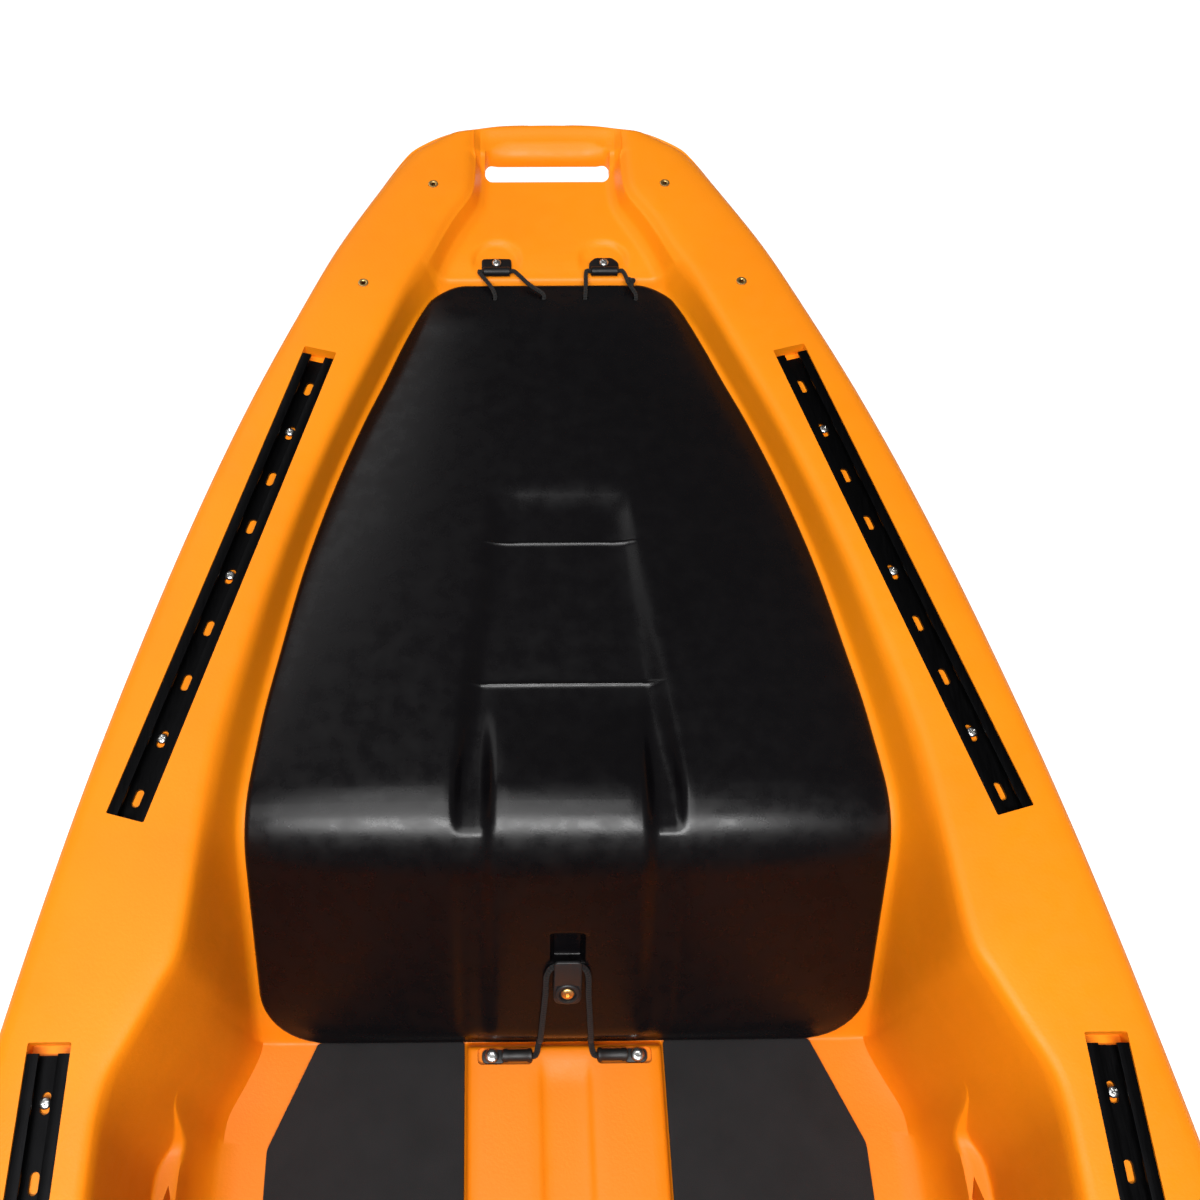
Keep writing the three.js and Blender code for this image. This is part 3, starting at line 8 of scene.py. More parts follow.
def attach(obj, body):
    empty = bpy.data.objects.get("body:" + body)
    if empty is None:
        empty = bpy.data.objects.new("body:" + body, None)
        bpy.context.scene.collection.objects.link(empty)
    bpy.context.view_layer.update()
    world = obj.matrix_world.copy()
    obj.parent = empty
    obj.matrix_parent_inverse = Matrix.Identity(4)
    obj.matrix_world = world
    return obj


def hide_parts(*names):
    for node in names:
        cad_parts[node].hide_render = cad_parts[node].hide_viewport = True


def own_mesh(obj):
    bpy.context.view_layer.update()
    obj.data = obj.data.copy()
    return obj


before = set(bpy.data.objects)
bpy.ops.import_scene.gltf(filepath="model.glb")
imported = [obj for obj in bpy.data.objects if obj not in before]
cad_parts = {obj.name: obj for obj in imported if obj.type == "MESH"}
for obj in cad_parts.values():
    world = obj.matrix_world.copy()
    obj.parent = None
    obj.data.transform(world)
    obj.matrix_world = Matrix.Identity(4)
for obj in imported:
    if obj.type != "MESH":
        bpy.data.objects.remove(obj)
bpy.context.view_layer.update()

collection = bpy.context.scene.collection
SIDES = (("left", -1), ("right", 1))

# Camera: over the footwell, looking down at the bow hatch, as the photograph was taken. The
# picture is a crop of a wider one, so the lens is shifted a little to the side.
CAMERA_PLACE = (-0.058, 0.718, 1.281)
CAMERA_YAW, CAMERA_PITCH, CAMERA_ROLL = (math.radians(v) for v in (1.07, 58.63, 0.51))
LENS_PIXELS = 1299
FRAME_PIXELS = 1200
SENSOR = 36
SHIFT_PIXELS = 93.5


def axes(x, y, z, place):
    """A frame from its three axes and its place."""
    made = Matrix((x, y, z)).transposed().to_4x4()
    made.translation = place
    return made


forward = Vector((
    math.sin(CAMERA_YAW) * math.cos(CAMERA_PITCH),
    math.cos(CAMERA_YAW) * math.cos(CAMERA_PITCH),
    -math.sin(CAMERA_PITCH),
))
level = Vector((math.cos(CAMERA_YAW), -math.sin(CAMERA_YAW), 0))
upright = level.cross(forward)
across_view = level * math.cos(CAMERA_ROLL) + upright * math.sin(CAMERA_ROLL)
up_view = upright * math.cos(CAMERA_ROLL) - level * math.sin(CAMERA_ROLL)
camera_data = bpy.data.cameras.new("camera")
camera_data.sensor_width = SENSOR
camera_data.lens = SENSOR * LENS_PIXELS / FRAME_PIXELS
camera_data.shift_x = SHIFT_PIXELS / FRAME_PIXELS
camera_data.clip_end = 100
camera = bpy.data.objects.new("camera", camera_data)
camera.matrix_world = axes(across_view, up_view, -forward, CAMERA_PLACE)
collection.objects.link(camera)
bpy.context.scene.camera = camera

# Hull: one rotomoulded polyethylene shell, orange right through, with every edge rounded by the
# mould. The grip bars, the foredeck pan, the hatch seat, the footwell with its foot ledges and
# spine, the seat deck and the tank well are all formed in it.
# Most tables give a share of the length from the bow, and then one of the half beam or of the
# nose's height. The two section tables give shares of the width and of the height.
HULL_LENGTH = 3.66
HALF_BEAM = 0.483
NOSE_HEIGHT = 0.395
KEEL_HALF = 0.035
GRIP_DROP = 0.009
PAN_DEPTH = 0.028
SEAT_DEPTH = 0.046
FLOOR = 0.115
SEAT_DECK = 0.175
TANK_FLOOR = 0.190
LEDGE_HEIGHT = 0.181
LEDGE_WIDTH = 0.023
SPINE_RISE = 0.012
CHANNEL_DEPTH = 0.005
SHELL_WALL = 0.005
SHEER = [
    (0, 0.095), (0.0008, 0.155), (0.0025, 0.212), (0.005, 0.25), (0.009, 0.29), (0.015, 0.321),
    (0.0246, 0.362), (0.0434, 0.435), (0.0683, 0.511), (0.0923, 0.578), (0.12, 0.644),
    (0.149, 0.704), (0.197, 0.789), (0.238, 0.847), (0.287, 0.903), (0.369, 0.965), (0.5, 1),
    (0.6, 0.988), (0.7, 0.925), (0.8, 0.795), (0.88, 0.617), (0.94, 0.437), (0.97, 0.327),
    (0.99, 0.245), (0.9975, 0.172), (1, 0.105),
]
KEEL = [
    (0, 0.9215), (0.0075, 0.904), (0.0142, 0.815), (0.022, 0.671), (0.033, 0.514), (0.055, 0.316),
    (0.082, 0.165), (0.137, 0.056), (0.22, 0.01), (0.3, 0), (0.7, 0), (0.78, 0.01), (0.86, 0.056),
    (0.92, 0.157), (0.955, 0.33), (0.975, 0.544), (0.985, 0.696), (0.9925, 0.79), (1, 0.805),
]
GUNWALE = [(0.3825, 0.805), (0.5, 0.79), (0.66, 0.795), (0.8, 0.823), (0.9, 0.85), (1, 0.885)]
FULLNESS = [
    (0, 0), (0.05, 0.25), (0.12, 0.6), (0.2, 0.88), (0.3, 1), (0.7, 1), (0.82, 0.85), (0.92, 0.5),
    (1, 0.1),
]
FULL_SECTION = [
    (0.14, 0.03), (0.28, 0.055), (0.49, 0), (0.61, 0), (0.8, 0.12), (0.91, 0.3), (0.955, 0.5),
    (0.985, 0.72), (1, 0.88),
]
FINE_SECTION = [
    (0.13, 0.06), (0.24, 0.14), (0.36, 0.23), (0.47, 0.31), (0.6, 0.42), (0.74, 0.56),
    (0.86, 0.71), (0.95, 0.82), (1, 0.92),
]
COCKPIT_EDGE = [
    (0.0137, 0.157), (0.0235, 0.161), (0.032, 0.201), (0.0434, 0.236), (0.055, 0.28),
    (0.0675, 0.315), (0.0803, 0.35), (0.092, 0.385), (0.125, 0.466), (0.1475, 0.511),
    (0.166, 0.54), (0.18, 0.563), (0.195, 0.575), (0.2156, 0.584), (0.227, 0.588),
    (0.2355, 0.615), (0.245, 0.648), (0.2536, 0.677), (0.262, 0.683), (0.6, 0.683), (0.615, 0.66),
]
COCKPIT_FOOT = [
    (0.0137, 0.137), (0.0235, 0.141), (0.032, 0.17), (0.0434, 0.212), (0.0487, 0.226),
    (0.0525, 0.24), (0.0566, 0.263), (0.067, 0.302), (0.0825, 0.346), (0.0945, 0.381),
    (0.1175, 0.437), (0.1377, 0.476), (0.158, 0.505), (0.176, 0.528), (0.2008, 0.545),
    (0.2325, 0.547), (0.2445, 0.58), (0.25, 0.6), (0.26, 0.603), (0.6, 0.603), (0.615, 0.58),
]
TANK_EDGE = [
    (0.638, 0.6), (0.66, 0.64), (0.74, 0.6), (0.8, 0.52), (0.855, 0.41), (0.866, 0.37),
]
TANK_FOOT_INSET = 0.022
# Where the deck steps up or down, as shares of the length from the bow.
SEAT_STEP, BULKHEAD, TANK_FRONT, TANK_BACK = (
    (0.4495, 0.4585), (0.612, 0.6175), (0.6375, 0.6435), (0.8605, 0.8665))
COCKPIT_END, BULKHEAD_MIDDLE, NOSE_SHARE = 0.6125, 0.63, 0.02
HATCH_FRONT = 0.0492 * HULL_LENGTH
HATCH_BEND = 0.199 * HULL_LENGTH
HATCH_FOOT = 0.2325 * HULL_LENGTH
BEND_REACH = 0.034
SPINE_PLACES = (0.2331 * HULL_LENGTH, 0.446 * HULL_LENGTH)
SPINE_SIDE = ((0.094, 0), (0.0865, 0), (0.0842, 0.18), (0.0828, 0.86), (0.078, 1))
CHANNEL_PLACES = ((0.866, 0.884), (1.600, 1.625))
CHANNEL_SIDE = ((0.026, 0), (0.0218, 0.2), (0.019, 0.85), (0.012, 1))
LEDGE_PLACES = (0.2525 * HULL_LENGTH, 0.2625 * HULL_LENGTH)
GRIP_HALF, GRIP_BACK, GRIP_END = 0.076, (0.0315, 0.0375), 0.060
GUNWALE_ROLL, NOSE_DROP, NOSE_ROUND = 0.013, 0.003, 0.006
NOSE_BOW, BOW_REACH, BOW_HALF = 0.0045, 0.028, 0.085
PAN_FALL, FALL_START, FALL_END = 0.0045, HATCH_FRONT - 0.034, HATCH_FRONT - 0.006


def follow(pairs, at):
    """A value between the pairs of a table, on a smooth line that doesn't overshoot them."""
    if at <= pairs[0][0]:
        return pairs[0][1]
    if at >= pairs[-1][0]:
        return pairs[-1][1]
    i = next(k for k, pair in enumerate(pairs) if pair[0] > at) - 1

    def slope(k):
        return (pairs[k + 1][1] - pairs[k][1]) / (pairs[k + 1][0] - pairs[k][0])

    def tangent(k):
        if k == 0:
            return slope(0)
        if k == len(pairs) - 1:
            return slope(k - 1)
        product = slope(k - 1) * slope(k)
        return 0 if product <= 0 else 2 * product / (slope(k - 1) + slope(k))

    step = pairs[i + 1][0] - pairs[i][0]
    t = (at - pairs[i][0]) / step
    rise = t * t * (3 - 2 * t)
    bow = tangent(i) * t * (1 - t) ** 2 - tangent(i + 1) * t * t * (1 - t)
    return pairs[i][1] * (1 - rise) + pairs[i + 1][1] * rise + step * bow


def straight(pairs, at):
    """A value between the pairs of a table, on straight lines."""
    for (x0, y0), (x1, y1) in zip(pairs, pairs[1:]):
        if at <= x1:
            return y0 + (y1 - y0) * min(max((at - x0) / (x1 - x0), 0), 1)
    return pairs[-1][1]


def ease(low, high, at):
    t = min(max((at - low) / (high - low), 0), 1)
    return t * t * (3 - 2 * t)


def mix(a, b, t):
    return a + (b - a) * t


def along(aft):
    return HULL_LENGTH / 2 - aft


KNEE = 0.3825 * HULL_LENGTH
GUNWALE_SLOPE = NOSE_HEIGHT * (1 - GUNWALE[0][1]) / KNEE


def gunwale(aft):
    if aft < KNEE:
        return NOSE_HEIGHT - GUNWALE_SLOPE * aft
    return NOSE_HEIGHT * follow(GUNWALE, aft / HULL_LENGTH)


def half_breadth(aft):
    return HALF_BEAM * follow(SHEER, aft / HULL_LENGTH)


def keel_height(aft):
    return NOSE_HEIGHT * follow(KEEL, aft / HULL_LENGTH)


def cockpit_foot(aft):
    return HALF_BEAM * follow(COCKPIT_FOOT, aft / HULL_LENGTH)


# The line that the hatch lies on: aft under the gunwale, round a bend and down to the floor.
bend_point = Vector((HATCH_BEND, gunwale(HATCH_BEND) - SEAT_DEPTH))
foot_point = Vector((HATCH_FOOT, FLOOR))
bend_start = Vector((HATCH_BEND - BEND_REACH, gunwale(HATCH_BEND - BEND_REACH) - SEAT_DEPTH))
bend_end = bend_point.lerp(foot_point, BEND_REACH / (foot_point - bend_point).length)
seat_line = [(HATCH_FRONT, gunwale(HATCH_FRONT) - SEAT_DEPTH)]
for bend_step in range(25):
    t = bend_step / 24
    spot = bend_start * (1 - t) ** 2 + bend_point * 2 * t * (1 - t) + bend_end * t * t
    seat_line.append((spot.x, spot.y))
seat_line.append((HATCH_FOOT, FLOOR))


def grip_drop(aft):
    """How far the grip bar lies under the gunwales."""
    return GRIP_DROP * ease(-0.004, 0.018, aft)


def pan_fall(aft):
    """How far the pan falls away in front of the hatch."""
    return PAN_FALL * ease(FALL_START, FALL_END, aft)


def deck_floor(aft):
    """Height of the deck between the gunwales, at the middle of the hull."""
    top = gunwale(aft)
    share = aft / HULL_LENGTH
    pan = top - PAN_DEPTH - pan_fall(aft)
    if aft < GRIP_END:
        return mix(top - grip_drop(aft), pan, ease(*GRIP_BACK, aft))
    if aft < HATCH_FRONT + 0.006:
        return mix(pan, top - SEAT_DEPTH, ease(HATCH_FRONT - 0.0035, HATCH_FRONT + 0.002, aft))
    if aft < HATCH_FOOT:
        return straight(seat_line, aft)
    if share < COCKPIT_END:
        return mix(FLOOR, SEAT_DECK, ease(*SEAT_STEP, share))
    if share < BULKHEAD_MIDDLE:
        return mix(SEAT_DECK, top, ease(*BULKHEAD, share))
    return mix(top, TANK_FLOOR, ease(*TANK_FRONT, share) * (1 - ease(*TANK_BACK, share)))


def hull_half(aft):
    """The right half of the hull's section, from the keel out, up, over the gunwale and in."""
    share = aft / HULL_LENGTH
    width, low, rim = half_breadth(aft), keel_height(aft), gunwale(aft)
    full = follow(FULLNESS, share)
    ridge = ease(0.079, 0.096, width) if share < 0.5 else 1
    nose_drop = NOSE_DROP * (1 - min(aft, HULL_LENGTH - aft, NOSE_ROUND) / NOSE_ROUND) ** 2
    top = rim - grip_drop(aft) * (1 - ridge) - nose_drop
    half = [(0, low), (min(KEEL_HALF, width / 3), low)]
    for fine, wide in zip(FINE_SECTION, FULL_SECTION):
        height = mix(fine[1], wide[1], full)
        half.append((width * mix(fine[0], wide[0], full), low + (rim - low) * height))
    roll = min(GUNWALE_ROLL, 0.4 * (top - low))
    if share < NOSE_SHARE:
        roll = min(roll, max(0.004, 0.3 * (width - GRIP_HALF)))
    half += [(width - 0.12 * roll, top - 0.62 * roll), (width - 0.6 * roll, top - 0.13 * roll),
             (width - 1.9 * roll, top)]
    if share < BULKHEAD_MIDDLE:
        edge, foot = HALF_BEAM * follow(COCKPIT_EDGE, share), cockpit_foot(aft)
    else:
        edge = HALF_BEAM * follow(TANK_EDGE, share)
        foot = edge - TANK_FOOT_INSET
    edge = min(edge, width - 2.3 * roll - (0.004 if share < NOSE_SHARE else 0.018))
    foot = min(foot, edge - 0.004)
    floor = min(deck_floor(aft) - nose_drop, top)
    rise = top - floor
    shelf = min(max((aft - LEDGE_PLACES[0]) / (LEDGE_PLACES[1] - LEDGE_PLACES[0]), 0), 1)
    shelf *= share < BULKHEAD_MIDDLE
    if rise > 0.02:
        low_share = mix(0.5, min(max((LEDGE_HEIGHT - floor) / rise, 0.12), 0.7), min(3 * shelf, 1))
    else:
        low_share = 0.5
    at_ledge = floor + rise * low_share
    soft, crisp = min(0.006, 0.42 * rise), min(0.003, rise / 4)
    shoulder = min(edge + 0.015, mix(edge, width - 1.9 * roll, 0.6))

    def wall(z, out):
        """A place on the cockpit's wall, which the foot ledge draws to a distance from its edge."""
        plain = mix(foot, edge, (z - floor) / rise if rise > 0.0001 else 0.5)
        return (mix(plain, edge - LEDGE_WIDTH * out, shelf), z)

    half += [
        (shoulder, top), (edge + 0.0045, top - 0.12 * soft), (edge - 0.0003, top - soft),
        wall(mix(at_ledge, top, 0.5), 0.09), wall(at_ledge + 2.2 * crisp, 0.15),
        wall(at_ledge + 0.5 * crisp, 0.163), wall(at_ledge + 0.1 * crisp, 0.22),
        wall(at_ledge - 0.2 * crisp, 0.92), wall(at_ledge - 0.9 * crisp, 1),
        wall(mix(floor, at_ledge, 0.45), 1.02),
        (foot + 0.0008, floor + min(0.005, rise / 4)), (foot - 0.005, floor),
    ]
    raised = SPINE_RISE * ease(SPINE_PLACES[0], SPINE_PLACES[0] + 0.006, aft)
    raised *= 1 - ease(SPINE_PLACES[1] - 0.008, SPINE_PLACES[1], aft)
    sunk = CHANNEL_DEPTH * ease(*CHANNEL_PLACES[0], aft) * (1 - ease(*CHANNEL_PLACES[1], aft))
    fit = min(1, (foot - 0.014) / 0.096)
    half.append((mix(foot - 0.005, SPINE_SIDE[0][0] * fit, 0.5), floor))
    half += [(x * fit, floor + raised * z) for x, z in SPINE_SIDE]
    half += [(x * fit, floor + raised - sunk * z) for x, z in CHANNEL_SIDE]
    half.append((0, floor + raised - sunk))
    return half


STATIONS = [v / 1000 for v in (
    0, 1.2, 3, 5, 7.5, 10.5, 15, 21, 27, 31.2, 34.5, 37.8, 43, 52, 64, 78, 94, 114, 138, 158, 168,
    173, 176, 178.5, 181, 183.5, 186, 192, 206, 232, 268, 310, 360, 415, 470, 525, 580, 632, 672,
    692, 706, 720, 734, 748, 762, 790, 818, 838, 847, 851, 853.5, 856, 858.8, 862, 867, 874, 884,
    893, 905, 916, 928, 940, 952, 964, 990, 1060, 1160, 1280, 1400, 1510, 1590, 1624, 1630, 1640,
    1648, 1658, 1668, 1678, 1700, 1780, 1900, 2020, 2120, 2190, 2226, 2239, 2247, 2255, 2264, 2285,
    2315, 2331, 2340, 2348, 2358, 2380, 2460, 2570, 2690, 2810, 2920, 3020, 3100, 3140, 3152, 3161,
    3170, 3184, 3225, 3290, 3360, 3430, 3490, 3540, 3580, 3608, 3626, 3640, 3650, 3656, 3660,
)]


def loft(bm, rings, last=None):
    """Draws a closed ring of points and extrudes its edges from one ring to the next."""
    if last is None:
        last = [bm.verts.new(p) for p in rings[0]]
        for a, b in zip(last, last[1:] + last[:1]):
            bm.edges.new((a, b))
        rings = rings[1:]
    made = [last]
    edges = [bm.edges.get((a, b)) for a, b in zip(last, last[1:] + last[:1])]
    for ring in rings:
        grown = bmesh.ops.extrude_edge_only(bm, edges=edges)["geom"]
        fresh = {item for item in grown if isinstance(item, bmesh.types.BMVert)}
        partner = {edge.other_vert(vert): vert for vert in fresh for edge in vert.link_edges}
        row = [partner[vert] for vert in last]
        for vert, point in zip(row, ring):
            vert.co = point
        edges = [bm.edges.get((a, b)) for a, b in zip(row, row[1:] + row[:1])]
        made.append(row)
        last = row
    return made


def cap_ends(bm, rings):
    """Closes a lofted form's two ends."""
    for end in (rings[0], rings[-1]):
        bmesh.ops.contextual_create(bm, geom=end)


def whole_ring(aft, half):
    """A closed ring round the hull from its right half, whose two ends lie on the middle line."""
    bow = NOSE_BOW * (1 - ease(0, BOW_REACH, aft))
    right = [Vector((x, along(aft) + bow * max(0, 1 - (x / BOW_HALF) ** 2), z)) for x, z in half]
    left = [Vector((-p.x, p.y, p.z)) for p in right[1:-1]]
    return right + left[::-1]


def close_end(bm, ring):
    """Closes a ring across, joining each point under the hull to the one over it on the deck."""
    count = len(ring)
    middle = count // 2
    for side in (1, -1):
        run = [ring[(side * i) % count] for i in range(middle + 1)]
        pairs = len(run) // 2
        for i in range(pairs - 1):
            bm.faces.new([run[i], run[i + 1], run[-2 - i], run[-1 - i]])
        if len(run) % 2:
            bm.faces.new([run[pairs - 1], run[pairs], run[-pairs]])


def shade(bm, angle):
    """Shades a form smooth, but for the edges that turn by more than an angle."""
    limit = math.radians(angle)
    for face in bm.faces:
        face.smooth = True
    for edge in bm.edges:
        edge.smooth = len(edge.link_faces) != 2 or edge.calc_face_angle(0) < limit


def as_object(bm, name):
    mesh = bpy.data.meshes.new(name)
    bm.to_mesh(mesh)
    bm.free()
    made = bpy.data.objects.new(name, mesh)
    collection.objects.link(made)
    return made


def finish_mesh(bm, name, angle=38):
    """Turns a form's faces outward, shades it and makes its object."""
    bmesh.ops.remove_doubles(bm, verts=bm.verts, dist=1e-6)
    bmesh.ops.recalc_face_normals(bm, faces=bm.faces)
    shade(bm, angle)
    return as_object(bm, name)


def settle(thing, angle=38):
    """Applies an object's modifiers to its mesh."""
    bpy.context.view_layer.update()
    shown = thing.evaluated_get(bpy.context.evaluated_depsgraph_get())
    ready = bpy.data.meshes.new_from_object(shown)
    thing.modifiers.clear()
    old = thing.data
    thing.data = ready
    bpy.data.meshes.remove(old)
    bm = bmesh.new()
    bm.from_mesh(ready)
    shade(bm, angle)
    bm.to_mesh(ready)
    bm.free()


def cut_away(thing, tools, own_overlaps=False, angle=38):
    """Takes the cutters' forms away from a piece, one after the other, and applies that."""
    tools = [finish_mesh(tool, "tool") for tool in tools]
    for tool in tools:
        cutting = thing.modifiers.new("cut", "BOOLEAN")
        cutting.operation, cutting.solver, cutting.object = "DIFFERENCE", "EXACT", tool
        cutting.use_self = own_overlaps
    settle(thing, angle)
    for tool in tools:
        bpy.data.objects.remove(tool)


def pull(bm, faces, rise):
    """Extrudes faces upward, and returns the vertices that rose."""
    grown = bmesh.ops.extrude_face_region(bm, geom=faces)["geom"]
    lifted = [v for v in grown if isinstance(v, bmesh.types.BMVert)]
    bmesh.ops.translate(bm, verts=lifted, vec=(0, 0, rise))
    return lifted


def rounded_block(bm, width, length, corner, low, high, matrix=Matrix(), steps=5):
    """A block with rounded upright corners, about the middle of its frame."""
    base = Matrix.Translation((0, 0, low)) @ Matrix.Diagonal((width, length, 1, 1))
    corners = bmesh.ops.create_grid(bm, x_segments=1, y_segments=1, size=0.5, matrix=base)["verts"]
    bevelled = bmesh.ops.bevel(
        bm, geom=corners, affect="VERTICES", offset=corner, offset_type="OFFSET", segments=steps,
        profile=0.5, material=-1)["verts"]
    faces = list({f for v in bevelled for f in v.link_faces})
    lifted = pull(bm, faces, high - low)
    everything = list({v for f in faces for v in f.verts} | set(lifted))
    bmesh.ops.transform(bm, matrix=matrix, verts=everything)


def gunwale_frame(x, aft, turn=0.0, drop=0.0):
    """A frame in the plane of the bow's gunwales: Z is its normal and Y points to the bow."""
    normal = Vector((0, -GUNWALE_SLOPE, 1)).normalized()
    ahead = Vector((-math.sin(turn), math.cos(turn), 0))
    ahead = (ahead - normal * ahead.dot(normal)).normalized()
    return axes(ahead.cross(normal), ahead, normal, (x, along(aft), gunwale(aft) - drop))


def towards(start, end):
    """A frame at a place, with Z pointing to another."""
    run = Vector(end) - Vector(start)
    return Matrix.Translation(start) @ run.to_track_quat("Z", "Y").to_matrix().to_4x4()


def round_bar(bm, start, end, radius, faces=24):
    """A round bar between two places."""
    place = towards(start, end)
    place.translation = (Vector(start) + Vector(end)) / 2
    bmesh.ops.create_cone(bm, cap_ends=True, segments=faces, radius1=radius, radius2=radius,
                          depth=(Vector(end) - Vector(start)).length, matrix=place)


def drill(bm, spot, below, above, radius, faces):
    """An upright round bar through a place."""
    round_bar(bm, spot - Vector((0, 0, below)), spot + Vector((0, 0, above)), radius, faces)


def arc(start, step, count):
    """Angles in radians, from a first one in equal steps in degrees."""
    return [math.radians(start + step * k) for k in range(count)]


shell_bm = bmesh.new()
shell_rings = loft(shell_bm, [whole_ring(aft, hull_half(aft)) for aft in STATIONS])
close_end(shell_bm, shell_rings[0])
close_end(shell_bm, shell_rings[-1])
hull = finish_mesh(shell_bm, "moulded_hull")
rounding = hull.modifiers.new("rounding", "SUBSURF")
rounding.levels = rounding.render_levels = 1
settle(hull, 60)

# The clips' pockets: two soft-rimmed hollows pressed into the pan, open towards the hatch.
CLIP_OUT, CLIP_AFT = 0.053, HATCH_FRONT - 0.0198
PRESS_DEPTH, PRESS_ARCH, PRESS_RIM, PRESS_END = 0.004, 0.154, (0.0198, 0.0262), (0.172, 0.186)
PAN_SPAN, PAN_HALF = (0.118, 0.192), 0.090
press_bm = bmesh.new()
press_bm.from_mesh(hull.data)


def in_pan(vert, margin=0.0):
    aft = along(vert.co.y)
    on_deck = vert.co.z > gunwale(aft) - SEAT_DEPTH - 0.012
    inside = PAN_SPAN[0] - margin < aft < PAN_SPAN[1] + margin
    return on_deck and inside and abs(vert.co.x) < PAN_HALF + margin


for division in range(2):
    pan_edges = [e for e in press_bm.edges
                 if in_pan(e.verts[0]) and in_pan(e.verts[1]) and e.calc_length() > 0.003]
    bmesh.ops.subdivide_edges(press_bm, edges=pan_edges, cuts=1, use_grid_fill=True)
for vert in press_bm.verts:
    if in_pan(vert, 0.001):
        aft = along(vert.co.y)
        away = abs(vert.co.x) - CLIP_OUT
        reach = math.hypot(away, aft - PRESS_ARCH) if aft < PRESS_ARCH else abs(away)
        depth = max(0, PRESS_DEPTH - pan_fall(aft)) * (1 - ease(*PRESS_RIM, reach))
        vert.co.z -= depth * (1 - ease(*PRESS_END, aft))
press_bm.to_mesh(hull.data)
press_bm.free()

# What the mould and the drill take away: slots, pockets, holes, drains and the hold.
GRIP_SLOTS = ((0.0392, 1), (0.98930 * HULL_LENGTH, -1))
SLOT_HALF, SLOT_LONG, SLOT_CORNER, BAR_ROUND = 0.064, 0.022, 0.0078, (0.022, 0.014)
SLOT_THROUGH, FLARE_LIFT, FLARE_FADE = 0.42, 0.0006, 0.75
GRIP_UNDER, GRIP_THICK = 0.014, 0.019
TRACK_SETS = (("bow", 0.081 * HULL_LENGTH, 0.4512 * HALF_BEAM, math.radians(15.3), (1, 4, 7)),
              ("middle", 0.2478 * HULL_LENGTH, 0.766 * HALF_BEAM, 0.0, (0, 4, 8)))
TRACK_DROP, TRACK_HOLE = 0.013, 0.0032
BED_WIDE, BED_SPARE, BED_CORNER, BED_SHIFT = 0.0306, 0.0076, 0.0012, 0.007
SLOT_PITCH = 0.0508
TRACK_LENGTH = 9 * SLOT_PITCH
TRACK_FIRST = 0.62 * SLOT_PITCH
INSERTS = (("front", 0.0226 * HULL_LENGTH, 0.2393 * HALF_BEAM),
           ("rear", 0.0576 * HULL_LENGTH, 0.3727 * HALF_BEAM))
INSERT_HOLE, INSERT_DEEP = 0.0051, 0.0146
SLEEVE_AFT = 0.235 * HULL_LENGTH + 0.006
SPINE_TOP = FLOOR + SPINE_RISE
TAIL_POCKET, TAIL_POCKET_BOX, TAIL_POCKET_OUT = 0.005, (0.0472, 0.0144, 0.004), 0.05105
HOLDER_AFT, HOLDER_OUT, HOLDER_TILT = 0.629 * HULL_LENGTH, 0.83 * HALF_BEAM, math.radians(30)
HOLDER_LEAN = Vector((0, math.sin(HOLDER_TILT), -math.cos(HOLDER_TILT)))
HOLDER_HOLE, HOLDER_DEEP = 0.0246, 0.2105
PLUG_PLACE, PLUG_HOLE = (0.070, 0.925 * HULL_LENGTH), 0.0106
NOTCHES, NOTCH_FIRST, NOTCH_PITCH = 7, 0.972, 0.095
NOTCH_HALF, NOTCH_SPAN, NOTCH_DEPTH = 0.0055, (0.020, 0.034), 0.024
SCUPPERS = ((0.4445, 0.5, FLOOR), (0.597, 0.5, SEAT_DECK), (0.845, 0.2, TANK_FLOOR))
SCUPPER_HOLE, PAST = 0.0145, 0.03

cut_bm, under_bm = bmesh.new(), bmesh.new()
for grip_aft, toward in GRIP_SLOTS:
    # The slot flares at its top on the bar's side, so that the bar comes out round. The flare
    # fades towards the bar's ends and runs out level with the deck in front.
    bar_top = gunwale(grip_aft) - (GRIP_DROP if toward > 0 else 0)
    flat_run, flat_long = SLOT_HALF - SLOT_CORNER, SLOT_LONG / 2 - SLOT_CORNER
    levels = [(-SLOT_THROUGH, 0), (-BAR_ROUND[1], 0)]
    wide, deep = BAR_ROUND
    levels += [(-deep * (1 - math.sin(t)) + FLARE_LIFT * t, wide * (1 - math.cos(t)))
               for t in arc(15, 15, 6)]
    rings = []
    for lift, grow in levels + [(PAST, wide)]:
        ring = []
        for corner_x, corner_y, first in ((1, 1, 0), (-1, 1, 90), (-1, -1, 180), (1, -1, 270)):
            spots = [(corner_x * flat_run + SLOT_CORNER * math.cos(t),
                      corner_y * flat_long + SLOT_CORNER * math.sin(t)) for t in arc(first, 15, 7)]
            if first in (0, 180):
                spots += [(corner_x * flat_run * (1 - k / 8), corner_y * SLOT_LONG / 2)
                          for k in range(1, 16)]
            for x, y in spots:
                faded = 1 - FLARE_FADE * ease(0.040, SLOT_HALF, abs(x))
                y += toward * grow * faded * (corner_y == toward)
                level = bar_top
                if toward > 0:
                    level = gunwale(grip_aft - y) - grip_drop(grip_aft - y)
                ring.append(Vector((x, along(grip_aft) + y, level + lift)))
        rings.append(ring)
    cap_ends(cut_bm, loft(cut_bm, rings))
    under = GRIP_UNDER + SLOT_LONG / 2
    rounded_block(
        under_bm, 2 * SLOT_HALF - 0.0004, under, 0.006, bar_top - SLOT_THROUGH,
        bar_top - GRIP_THICK,
        Matrix.Translation((0, along(grip_aft) + toward * (under / 2 - 0.0002), 0)))
